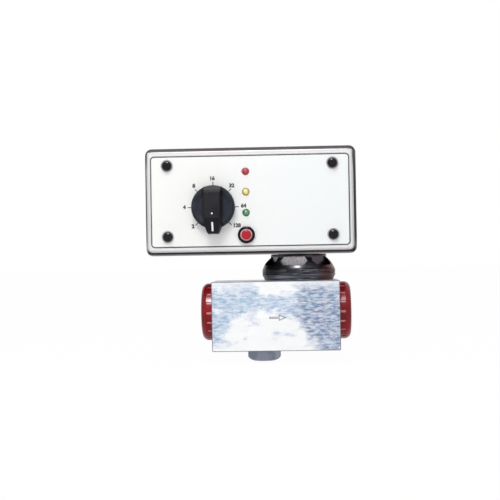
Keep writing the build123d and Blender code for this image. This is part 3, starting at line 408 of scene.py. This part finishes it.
dress(moulding("seal_rubber", (0.02, 0.02, 0.02), (0.03, 0.03, 0.03), 0.7),
      "plug_seal", "bonnet_oring", "piston_seal", "pilot_seal", "tube_gasket", "lid_gasket")
dress(moulding("black_screw", (0.004, 0.004, 0.005), (0.008, 0.008, 0.009), 0.2, specular=0.2),
      "lid_screws")
dress(moulding("black_moulding", (0.02, 0.02, 0.022), (0.03, 0.03, 0.032), 0.45),
      "coil_bobbin", "relay", "transformer", "rotary_switch", "cable_gland", "gland_nut")
dress(moulding("bezel_black", (0.004, 0.003, 0.005), (0.008, 0.006, 0.008), 0.2, specular=0.15),
      "button_housing")
dress(moulding("terminal_green", (0.05, 0.26, 0.11), (0.04, 0.22, 0.09), 0.4), "terminal_block")

# %% [markdown]
# ## The knob
# The knob is matt black with a blue cast. Its grip bar runs up and down, so the distance to the
# side of the axis finds the bar, the creases along its foot, which get painted shade, and the
# crown, the bar's upper end, which gets a painted highlight.

# %% The knob's moulding
def knob_finish():
    made, tree, shader = start_material("knob_black", (0.014, 0.017, 0.026), 0.45, specular=0.16)
    x, _, z = split(tree, object_place(tree, dial))
    side = calc(tree, "ABSOLUTE", x)
    # painted shade in the creases along the bar's foot
    crease = times(tree, between(tree, side, 5.6 * MM, 6.4 * MM),
                   between(tree, side, 7.2 * MM, 8.0 * MM, 1.0, 0.0))
    # painted highlight on the crown, the bar's upper end
    crown = times(tree, between(tree, z, 10.8 * MM, 12.2 * MM),
                  between(tree, side, 5.4 * MM, 6.0 * MM, 1.0, 0.0))
    bar = between(tree, side, 5.8 * MM, 6.4 * MM, 1.0, 0.0)
    worn = noise(tree, object_place(tree), scale=160.0, detail=4.0, roughness=0.6)
    skirt = mottle(tree, worn, (0.009, 0.011, 0.021), (0.022, 0.027, 0.045), 0.35, 0.68)
    barred = blend_color(tree, bar, skirt, (0.007, 0.0065, 0.011))
    creased = blend_color(tree, crease, barred, (0.004, 0.004, 0.007))
    give_color(tree, shader, blend_color(tree, crown, creased, (0.045, 0.045, 0.05)))
    give_roughness(tree, shader, worn, 0.5, 0.36, 0.35, 0.7)
    give_bump(tree, shader, noise(tree, object_place(tree), scale=1800.0), 0.01 * MM)
    return made


dress(knob_finish(), "selector_knob")

# %% [markdown]
# ## Lid, base, film and washers
# The lid is greyer at its rim, as painted shade where its edge rounds away, and nearly black along
# its top front edge, as painted shade, so its colour follows the distance out from the panel's
# middle. The base is charcoal, and paler along the lower part of its lip. The film has a very slow
# shift of tint from left to right. The washers are clear nylon: grey beside the screw, as painted
# shadow of its head, and pale at their edge.

# %% The lid's moulding
def lid_plastic():
    made, tree, shader = start_material("lid_moulding", (0.8, 0.79, 0.78), 0.36)
    half = half_of("box_lid")
    x, y, z = split(tree, object_place(tree, panel_center))
    outwards = calc(tree, "MAXIMUM", past(tree, x, half.x), past(tree, z, half.z))
    # painted shade: the rim greys towards the lid's outline
    rim = between(tree, outwards, -3.0 * MM, -0.4 * MM)
    shell = blend_color(tree, rim, (0.86, 0.85, 0.84), (0.60, 0.585, 0.60))
    # painted shade: nearly black along the top front edge
    upper = times(tree, between(tree, z, 20 * MM, 32 * MM),
                  between(tree, y, 2.2 * MM, 4.0 * MM, 1.0, 0.12))
    top_edge_shade = times(tree, between(tree, outwards, -1.1 * MM, -0.4 * MM), upper)
    texture = noise(tree, object_place(tree), scale=1500.0)
    give_color(tree, shader, blend_color(tree, top_edge_shade, shell, (0.06, 0.035, 0.042)))
    give_roughness(tree, shader, texture, 0.33, 0.42)
    give_bump(tree, shader, texture, 0.01 * MM)
    return made


dress(lid_plastic(), "box_lid")


# %% The dark base
def base_plastic():
    made, tree, shader = start_material("box_moulding", (0.04, 0.036, 0.04), 0.5, specular=0.25)
    half = half_of("box_base")
    x, _, z = split(tree, object_place(tree, middle_of("box_base")))
    outwards = calc(tree, "MAXIMUM", past(tree, x, half.x), past(tree, z, half.z))
    lower = between(tree, z, -half.z + 4 * MM, -half.z + 14 * MM, 1.0, 0.15)
    lip = times(tree, between(tree, outwards, -1.6 * MM, -0.2 * MM), lower)
    texture = noise(tree, object_place(tree), scale=1300.0)
    dark = mottle(tree, texture, (0.030, 0.026, 0.030), (0.042, 0.037, 0.041))
    give_color(tree, shader, blend_color(tree, lip, dark, (0.42, 0.41, 0.42)))
    give_roughness(tree, shader, texture, 0.42, 0.56)
    give_bump(tree, shader, texture, 0.02 * MM)
    return made


dress(base_plastic(), "box_base")


# %% The printed film
def printed_film():
    made, tree, shader = start_material("overlay_film", (0.925, 0.93, 0.93), 0.3)
    x = split(tree, object_place(tree, panel_center))[0]
    drift = between(tree, x, -70 * MM, 70 * MM)
    texture = noise(tree, object_place(tree), scale=2600.0)
    give_color(tree, shader, blend_color(tree, drift, (0.935, 0.935, 0.915), (0.895, 0.92, 0.93)))
    give_roughness(tree, shader, texture, 0.26, 0.36)
    give_bump(tree, shader, texture, 0.005 * MM)
    return made


dress(printed_film(), "front_overlay")


# %% The washers
def washer_nylon():
    made, tree, shader = start_material("nylon_washer", (0.6, 0.6, 0.6), 0.35)
    # the four washers stand at the corners of a rectangle, so each one's axis is a radius inside
    radius = 4.55 * MM
    half = half_of("screw_washers")
    x, _, z = split(tree, object_place(tree, middle_of("screw_washers")))
    away = distance(tree, past(tree, x, half.x - radius), past(tree, z, half.z - radius))
    texture = noise(tree, object_place(tree), scale=1800.0)
    # painted shadow of the screw's head: grey next to the screw, pale at the washer's edge
    edge = between(tree, away, 3.3 * MM, 4.5 * MM)
    give_color(tree, shader, blend_color(tree, edge, (0.16, 0.16, 0.17), (0.66, 0.66, 0.67)))
    give_roughness(tree, shader, texture, 0.3, 0.42)
    return made


dress(washer_nylon(), "screw_washers")

# %% [markdown]
# ## Red parts and lamps
# The transit caps and the button are glossy coloured plastic. The lamps are tinted epoxy: light
# that enters is scattered and comes out brightest at the middle of the dome, so the colour is
# painted from the distance to the lamp's own axis.

# %% Glossy red plastic
def cap_plastic():
    made, tree, shader = start_material("cap_red", (0.34, 0.006, 0.010), 0.22, specular=0.22)
    x, y, z = split(tree, object_place(tree, (block_center.x, 0.0, 0.0)))
    out = past(tree, x, block_high.x - block_center.x)
    reach = distance(tree, y, z)

    # painted shade: darker at the closed end and round the corner
    corner = between(tree, reach, 20.3 * MM, 21.2 * MM, 0.0, 0.25)
    closed = calc(tree, "MAXIMUM", between(tree, out, 5.0 * MM, 8.0 * MM), corner)
    cloud = noise(tree, object_place(tree), scale=120.0)
    body = mottle(tree, cloud, (0.34, 0.004, 0.010), (0.24, 0.003, 0.007))
    capped = blend_color(tree, times(tree, closed, 0.6), body, (0.06, 0.002, 0.004))

    # painted highlight: the finger grooves are painted pale, standing for the glints in them
    groove = times(tree, between(tree, reach, 20.3 * MM, 20.7 * MM, 1.0, 0.0),
                   between(tree, out, 4.0 * MM, 4.4 * MM, 1.0, 0.0))
    give_color(tree, shader, blend_color(tree, groove, capped, (0.85, 0.42, 0.45)))
    give_roughness(tree, shader, noise(tree, object_place(tree), scale=1500.0), 0.2, 0.3)
    return made


dress(cap_plastic(), "inlet_cap", "outlet_cap")
dress(moulding("button_red", (0.52, 0.014, 0.026), (0.46, 0.010, 0.02), 0.25,
               specular=0.2, grain_scale=1500.0, grain=0.006 * MM), "test_button")


# %% The collar round the button
def collar_finish():
    made, tree, shader = start_material("collar_pale", (0.7, 0.5, 0.52), 0.3)
    x, _, z = split(tree, object_place(tree, middle_of("button_collar")))
    # the pale ring ends where the collar drops into the shadow of its bezel
    shadowed = between(tree, distance(tree, x, z), 4.0 * MM, 4.3 * MM)
    worn = noise(tree, object_place(tree), scale=900.0)
    pale = mottle(tree, worn, (0.74, 0.56, 0.58), (0.62, 0.42, 0.45))
    give_color(tree, shader, blend_color(tree, shadowed, pale, (0.02, 0.012, 0.015)))
    give_roughness(tree, shader, worn, 0.25, 0.38)
    return made


dress(collar_finish(), "button_collar")


# %% Lamp domes
def lamp_epoxy(name, core, rim):
    made, tree, shader = start_material(name, core, 0.12)
    x, _, z = split(tree, object_place(tree, middle_of(name)))
    away = between(tree, distance(tree, x, z), 0.9 * MM, 2.6 * MM)
    give_color(tree, shader, blend_color(tree, away, core, rim))
    shader.inputs["Coat Weight"].default_value = 0.35
    shader.inputs["Coat Roughness"].default_value = 0.05
    return made


dress(lamp_epoxy("lamp_red", (0.62, 0.005, 0.03), (0.36, 0.003, 0.016)), "lamp_red")
dress(lamp_epoxy("lamp_yellow", (0.95, 0.88, 0.22), (0.42, 0.27, 0.01)), "lamp_yellow")
dress(lamp_epoxy("lamp_green", (0.10, 0.34, 0.14), (0.02, 0.13, 0.04)), "lamp_green")

# %% [markdown]
# ## Winding and circuit board
# Nobody sees these until the box is open, but they are still real surfaces. The winding is
# enamelled wire laid in rings, so a wave along the tube gives the turns. The board is green
# resist over copper tracks, which a blocky pattern hints at.

# %% Copper winding
def copper_wire():
    made, tree, shader = start_material("copper_wire", (0.5, 0.2, 0.08), 0.3, metallic=1.0)
    place = object_place(tree, bonnet_center)
    turns = add(tree, "ShaderNodeTexWave", {"bands_direction": "Z"},
                {"Vector": place, "Scale": 500.0, "Distortion": 0.2}).outputs["Fac"]
    give_color(tree, shader, blend_color(tree, turns, (0.3, 0.1, 0.04), (0.6, 0.26, 0.11)))
    give_bump(tree, shader, turns, 0.1 * MM, 0.6)
    return made


dress(copper_wire(), "coil_winding")


# %% Circuit board
def board_resist():
    made, tree, shader = start_material("board_green", (0.03, 0.2, 0.08), 0.3)
    blocks = add(tree, "ShaderNodeTexVoronoi", {"distance": "CHEBYCHEV", "feature": "F1"},
                 {"Vector": object_place(tree), "Scale": 260.0}).outputs["Distance"]
    tracks = between(tree, blocks, 0.42, 0.46)
    give_color(tree, shader, blend_color(tree, tracks, (0.03, 0.2, 0.08), (0.06, 0.32, 0.13)))
    give_bump(tree, shader, tracks, 0.04 * MM, 0.6)
    return made


dress(board_resist(), "circuit_board")
print("nodes without a finish:", sorted(set(nodes) - dressed))

# %% [markdown]
# ## Print on the panel
# The panel's film is printed with a dial, and a thin dark line round its edge is painted shade,
# where the gap between film and lid falls dark. Print has no thickness to speak of, so each mark is
# a flat face that floats a fiftieth of a millimetre over the film. A helper puts any flat mesh,
# drawn in x and y, onto the panel: x stays, and y becomes height.

# %% From a flat drawing to a piece on the panel
print_gap = 0.02 * MM
quarter_turn = math.radians(90)


def onto_front(bm, center, depth):
    """Stands a flat drawing up so that it faces the front, centred on a place, at a depth."""
    upright = Matrix.Rotation(quarter_turn, 4, "X")
    place = Matrix.Translation((center.x, depth, center.z))
    bmesh.ops.transform(bm, matrix=place @ upright, verts=bm.verts)
    bmesh.ops.recalc_face_normals(bm, faces=bm.faces)
    if sum(face.normal.y for face in bm.faces) > 0:
        bmesh.ops.reverse_faces(bm, faces=bm.faces)


def draw_bar(bm, width, height):
    """An upright bar round the origin, as its four vertices."""
    bar = bmesh.ops.create_grid(bm, x_segments=1, y_segments=1, size=0.5)["verts"]
    bmesh.ops.scale(bm, vec=(width, height, 1.0), verts=bar)
    return bar


def finish_piece(bm, name, material, body=None, smooth=False):
    """The drawn mesh as an object of its own, which rides on a body if one is named."""
    mesh = bpy.data.meshes.new(name)
    for face in bm.faces:
        face.smooth = smooth
    bm.to_mesh(mesh)
    bm.free()
    mesh.materials.append(material)
    piece = bpy.data.objects.new(name, mesh)
    bpy.context.scene.collection.objects.link(piece)
    if body:
        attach(piece, body)
    print(f"{name}: {len(mesh.polygons)} faces on {body or 'two bodies'}")
    return piece


# %% Printing ink, and the same paint for painted shade and highlight
def flat_paint(name, color, roughness):
    made, tree, shader = start_material(name, color, roughness)
    wear = noise(tree, object_place(tree), scale=1400.0, detail=3.0)
    worn_color = tuple(min(1.0, part * 1.35 + 0.012) for part in color)
    give_color(tree, shader, mottle(tree, wear, color, worn_color, 0.3, 0.7))
    return made


black_ink = flat_paint("black_ink", (0.012, 0.012, 0.014), 0.5)
gap_shade = flat_paint("gap_shade", (0.035, 0.036, 0.04), 0.5)
white_ink_and_glint = flat_paint("white_ink_and_glint", (0.88, 0.88, 0.88), 0.35)
print("inks:", black_ink.name, gap_shade.name, white_ink_and_glint.name)

# %% The border line, painted shade of the gap round the film
border_half = Vector((70.9 * MM, 32.7 * MM))
border_radius = 2.9 * MM
border_width = 0.95 * MM

bm = bmesh.new()
draw_bar(bm, 2 * border_half.x, 2 * border_half.y)
bmesh.ops.bevel(bm, geom=bm.verts, offset=border_radius, segments=8, profile=0.5, affect="VERTICES",
                offset_type="OFFSET", material=-1)
bmesh.ops.inset_region(bm, faces=bm.faces[:], thickness=border_width, use_even_offset=True,
                       use_boundary=True)
middle = max(bm.faces, key=lambda face: face.calc_area())
bmesh.ops.delete(bm, geom=[middle], context="FACES_ONLY")
onto_front(bm, panel_center, panel_front - print_gap)
finish_piece(bm, "panel_border", gap_shade, "valve_and_box")

# %% The dial's ticks
dial_numbers = ("2", "4", "8", "16", "32", "64", "128")
dial_step = 45.0
first_mark = -135.0
tick_inner = 14.5 * MM
tick_outer = 18.2 * MM
tick_width = 0.6 * MM

bm = bmesh.new()
for index in range(len(dial_numbers)):
    tick = draw_bar(bm, tick_width, tick_outer - tick_inner)
    bmesh.ops.translate(bm, vec=(0, (tick_inner + tick_outer) / 2, 0), verts=tick)
    turn = Matrix.Rotation(math.radians(-(first_mark + dial_step * index)), 3, "Z")
    bmesh.ops.rotate(bm, cent=(0, 0, 0), matrix=turn, verts=tick)
onto_front(bm, dial, panel_front - print_gap)
finish_piece(bm, "dial_ticks", black_ink, "valve_and_box")

# %% The dial's numbers
# each number's middle, in millimetres right of the dial's centre and above it
number_places = {"2": (-14.6, -13.4), "4": (-20.6, 0.4), "8": (-13.6, 15.4), "16": (-0.2, 20.6),
                 "32": (13.4, 15.2), "64": (21.6, 0.8), "128": (16.9, -13.2)}
digit_height = 2.5 * MM
type_size = digit_height * 1.45  # a digit fills about seven tenths of the type's size
boldness = 0.07
outline_steps = 4


def flat_text(words, size):
    """The outline of some text, as a flat mesh in a bmesh, centred on its own middle."""
    curve = bpy.data.curves.new("words", "FONT")
    curve.body = words
    curve.size = size
    curve.offset = size * boldness
    curve.resolution_u = outline_steps
    carrier = bpy.data.objects.new("words", curve)
    bpy.context.scene.collection.objects.link(carrier)
    bpy.context.view_layer.update()
    evaluated = carrier.evaluated_get(bpy.context.evaluated_depsgraph_get())
    mesh = bpy.data.meshes.new_from_object(evaluated)
    bpy.data.objects.remove(carrier)
    drawn = bmesh.new()
    drawn.from_mesh(mesh)
    bpy.data.meshes.remove(mesh)
    bmesh.ops.remove_doubles(drawn, verts=drawn.verts, dist=size * 0.001)
    xs = [vert.co.x for vert in drawn.verts]
    ys = [vert.co.y for vert in drawn.verts]
    middle = Vector(((min(xs) + max(xs)) / 2, (min(ys) + max(ys)) / 2, 0))
    bmesh.ops.translate(drawn, vec=-middle, verts=drawn.verts)
    return drawn


for number in dial_numbers:
    bm = flat_text(number, type_size)
    right, up = number_places[number]
    onto_front(bm, dial + Vector((right * MM, 0, up * MM)), panel_front - print_gap)
    finish_piece(bm, f"dial_number_{number}", black_ink, "valve_and_box")

# %% [markdown]
# ## The knob's line
# A white line is filled into the sloping face of the knob's nose, and a small white dot in the
# blind hole above it is a painted highlight. The line is drawn upright like the print, and then
# each of its points is moved back to the slope, by how far down the nose it stands.

# %% The pointer's line
knob_front = knob_low.y
slope_top = Vector((0, knob_front, dial.z - 8.0 * MM))
slope_end = Vector((0, knob_front + 6.8 * MM, dial.z - 19.2 * MM))
line_width = 1.3 * MM
line_top = dial.z - 11.0 * MM
line_end = dial.z - 17.4 * MM
line_corner = 0.4 * MM
paint_proud = 0.03 * MM


def on_slope(height, proud):
    share = (height - slope_top.z) / (slope_end.z - slope_top.z)
    return slope_top.y + share * (slope_end.y - slope_top.y) - proud


bm = bmesh.new()
draw_bar(bm, line_width, line_top - line_end)
bmesh.ops.bevel(bm, geom=bm.verts, offset=line_corner, segments=4, profile=0.5, affect="VERTICES",
                offset_type="OFFSET", material=-1)
onto_front(bm, Vector((dial.x, 0, (line_top + line_end) / 2)), 0.0)
for vert in bm.verts:
    vert.co.y = on_slope(vert.co.z, paint_proud)
finish_piece(bm, "knob_line", white_ink_and_glint, "selector")

# %% The pointer's dot, a painted highlight in the blind hole
# a small white dome in the blind hole stands for a glint there: painted highlight
dot_radius = 0.75 * MM
dot_flatness = 0.45
dot_place = (dial.x, knob_front + 0.5 * MM, dial.z - 5.0 * MM)

bm = bmesh.new()
bmesh.ops.create_uvsphere(bm, u_segments=24, v_segments=12, radius=dot_radius)
bmesh.ops.scale(bm, vec=(1.0, dot_flatness, 1.0), verts=bm.verts)
bmesh.ops.translate(bm, vec=dot_place, verts=bm.verts)
finish_piece(bm, "knob_hole_glint", white_ink_and_glint, "selector", smooth=True)

# %% [markdown]
# ## The flow arrow
# The arrow is engraved in the block as a thin outline. It is drawn as seven points, inset to leave
# a line, and laid on the face in a dark colour.

# %% An outlined arrow
arrow_length = 12.5 * MM
arrow_head = 5.6 * MM
arrow_height = 4.6 * MM
arrow_shaft = 1.5 * MM
arrow_line = 0.6 * MM
arrow_place = Vector((block_center.x + 1.4 * MM, 0, block_center.z - 1.1 * MM))

tip = arrow_length / 2
neck = tip - arrow_head
barb = arrow_height / 2
side = arrow_shaft / 2
corners = ((-tip, -side), (neck, -side), (neck, -barb), (tip, 0), (neck, barb), (neck, side),
           (-tip, side))
bm = bmesh.new()
face = bm.faces.new([bm.verts.new((x, y, 0)) for x, y in corners])
bm.normal_update()  # the inset measures its width across the face's normal
bmesh.ops.inset_region(bm, faces=[face], thickness=arrow_line, use_even_offset=True,
                       use_boundary=True)
middle = next(face for face in bm.faces if len(face.verts) == len(corners))
bmesh.ops.delete(bm, geom=[middle], context="FACES_ONLY")
onto_front(bm, arrow_place, block_low.y - print_gap)
engraved = flat_paint("engraved_line", (0.2, 0.21, 0.23), 0.5)
finish_piece(bm, "flow_arrow", engraved, "valve_and_box")

# %% [markdown]
# ## Threads in the ports
# Each port is tapped with a pipe thread, which shows when its red cap is pulled. A thread is one
# small triangle that is spun round the port's axis and moves along by a pitch with each turn, so a
# single spin makes it, with a step along the axis at each step round.

# %% Spin a thread into each port
thread_pitch = 2.309 * MM
thread_root = 15.13 * MM
thread_crest = 14.72 * MM
thread_flank = 0.55 * MM
thread_turns = 7
steps_per_turn = 48
port_lead = 0.9 * MM

thread_steel = bare_metal("thread_steel", (0.66, 0.69, 0.73), (0.55, 0.58, 0.62), 0.3)
for port, start, inwards in (("inlet_thread", block_low.x, 1), ("outlet_thread", block_high.x, -1)):
    bm = bmesh.new()
    lead = start + inwards * (-block_low.x + port_lead)
    tooth = [bm.verts.new((lead + inwards * run, 0.0, radius)) for run, radius in
             ((0.0, thread_root), (thread_flank, thread_crest), (2 * thread_flank, thread_root))]
    edges = [bm.edges.new((tooth[i], tooth[(i + 1) % 3])) for i in range(3)]
    bmesh.ops.spin(bm, geom=tooth + edges, cent=(0, 0, 0), axis=(1, 0, 0),
                   dvec=(inwards * thread_pitch / steps_per_turn, 0, 0),
                   angle=2 * math.pi * thread_turns, steps=thread_turns * steps_per_turn,
                   use_merge=False, use_duplicate=False)
    bmesh.ops.holes_fill(bm, edges=[edge for edge in bm.edges if edge.is_boundary], sides=3)
    bmesh.ops.recalc_face_normals(bm, faces=bm.faces)
    finish_piece(bm, port, thread_steel, "valve_and_box")

# %% [markdown]
# ## Springs
# Three springs sit inside: under the bonnet, over the plunger and behind the button. Each one has
# an end on a part that moves and an end on a part that stays, so it has to shorten. The wire is a
# small circle that is spun up a helix in the box of the spring's node, which is then hidden; the
# piece rides on no body and keeps its length.

# %% Wind a spring in its node's place
wire_sides = 10
steps_per_coil = 24


def wind_spring(node, wire, pitch, axis):
    """A helix of round wire in the node's own box, wound along an axis: 1 for y, or 2 for z."""
    low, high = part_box(node)
    size = high - low
    run = size[axis] - 2 * wire
    radius = size.x / 2 - wire
    steps = round(run / pitch * steps_per_coil)
    bm = bmesh.new()
    ring = bmesh.ops.create_circle(bm, segments=wire_sides, radius=wire)["verts"]
    upright = Matrix.Rotation(quarter_turn, 3, "X")
    bmesh.ops.rotate(bm, cent=(0, 0, 0), matrix=upright, verts=ring)
    bmesh.ops.translate(bm, vec=(radius, 0, -run / 2), verts=ring)
    bmesh.ops.spin(bm, geom=bm.verts[:] + bm.edges[:], cent=(0, 0, 0), axis=(0, 0, 1),
                   dvec=(0, 0, run / steps), angle=2 * math.pi * run / pitch, steps=steps,
                   use_merge=False, use_duplicate=False)
    ends = [edge for edge in bm.edges if edge.is_boundary]
    bmesh.ops.holes_fill(bm, edges=ends, sides=wire_sides)
    if axis == 1:
        bmesh.ops.rotate(bm, cent=(0, 0, 0), matrix=upright, verts=bm.verts)
    bmesh.ops.translate(bm, vec=(low + high) / 2, verts=bm.verts)
    bmesh.ops.recalc_face_normals(bm, faces=bm.faces)
    steel = nodes[node].data.materials[0]
    piece = finish_piece(bm, f"{node}_wire", steel, smooth=True)
    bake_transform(piece)
    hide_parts(node)


wind_spring("piston_spring", 0.6 * MM, 2.75 * MM, 2)
wind_spring("plunger_spring", 0.35 * MM, 2.7 * MM, 2)
wind_spring("button_spring", 0.25 * MM, 1.3 * MM, 1)

# %% [markdown]
# ## Floor, light and camera
# The floor and backdrop are plain and pale. The world lights evenly, one wide lamp from above
# gives the shadow, and a small lamp beside it gives the glints. The small lamp lights gloss only,
# so it adds no second shadow.

# %% Floor
floor_drop = 0.5 * MM
floor_size = 6.0
floor_glow_share = 0.975


def seen_directly(tree):
    """1 for rays that show a surface, straight, mirrored or through glass, and 0 for the rest."""
    rays = add(tree, "ShaderNodeLightPath").outputs
    bent = calc(tree, "MAXIMUM", rays["Is Glossy Ray"], rays["Is Transmission Ray"])
    return calc(tree, "MAXIMUM", rays["Is Camera Ray"], bent)


bm = bmesh.new()
bmesh.ops.create_grid(bm, x_segments=1, y_segments=1, size=floor_size)
bmesh.ops.translate(bm, vec=(0, 0, cad_box[0].z - floor_drop), verts=bm.verts)
floor_mesh = bpy.data.meshes.new("floor")
bm.to_mesh(floor_mesh)
bm.free()
floor = bpy.data.objects.new("floor", floor_mesh)
bpy.context.scene.collection.objects.link(floor)

floor_material, tree, shader = start_material("floor_white", (0.9, 0.9, 0.9), 0.8)
glow = add(tree, "ShaderNodeEmission", None, {"Color": (1, 1, 1, 1), "Strength": 1.0})
glow_share = times(tree, seen_directly(tree), floor_glow_share)
mixed = add(tree, "ShaderNodeMixShader", None,
            {0: glow_share, 1: shader.outputs[0], 2: glow.outputs[0]})
tree.links.new(mixed.outputs[0], tree.nodes["Material Output"].inputs["Surface"])
floor_mesh.materials.append(floor_material)
print("floor at", round(floor_mesh.vertices[0].co.z / MM, 1), "mm")

# %% World
world_light = 0.57
world_seen = 1.0

world = bpy.data.worlds.new("studio")
bpy.context.scene.world = world
world.use_nodes = True
tree = world.node_tree
background = tree.nodes["Background"]
background.inputs["Color"].default_value = (1, 1, 1, 1)
strength = between(tree, seen_directly(tree), 0.0, 1.0, world_light, world_seen)
tree.links.new(strength, background.inputs["Strength"])
print("world lights at", world_light, "and is seen at", world_seen)


# %% Lamps
def area_lamp(name, place, target, size, power):
    data = bpy.data.lights.new(name, "AREA")
    data.shape = "RECTANGLE"
    data.size = size
    data.size_y = size
    data.energy = power
    lamp = bpy.data.objects.new(name, data)
    lamp.location = place
    lamp.rotation_mode = "QUATERNION"
    lamp.rotation_quaternion = (Vector(place) - Vector(target)).to_track_quat("Z", "Y")
    bpy.context.scene.collection.objects.link(lamp)
    print(f"{name}: {power} W")
    return lamp


# places and sizes in metres, power in watts
lamp_target = (0.04, 0.0, 0.04)
area_lamp("wide_lamp", (-0.10, -0.50, 0.66), lamp_target, size=0.3, power=3.0)
glint_lamp = area_lamp("glint_lamp", (0.008, -0.52, 0.56), lamp_target, size=0.08, power=11.0)
glint_lamp.visible_diffuse = False

# %% Camera
camera_place = Vector((55.0, -784.7, 40.0)) * MM
# the angles in degrees
camera_pitch = 0.38
camera_roll = 0.98
camera_yaw = 2.26
camera_lens = 76.4

camera_data = bpy.data.cameras.new("camera")
camera_data.sensor_width = 36.0
camera_data.lens = camera_lens
camera_data.clip_start = 0.05
camera = bpy.data.objects.new("camera", camera_data)
camera.matrix_world = (
    Matrix.Translation(camera_place)
    @ Matrix.Rotation(math.radians(camera_yaw), 4, "Z")
    @ Matrix.Rotation(math.radians(90 + camera_pitch), 4, "X")
    @ Matrix.Rotation(math.radians(-camera_roll), 4, "Z")
)
bpy.context.scene.collection.objects.link(camera)
bpy.context.scene.camera = camera
bpy.context.scene.view_settings.view_transform = "Standard"
print("camera in mm:", [round(v / MM, 1) for v in camera_place], "lens:", camera_data.lens)
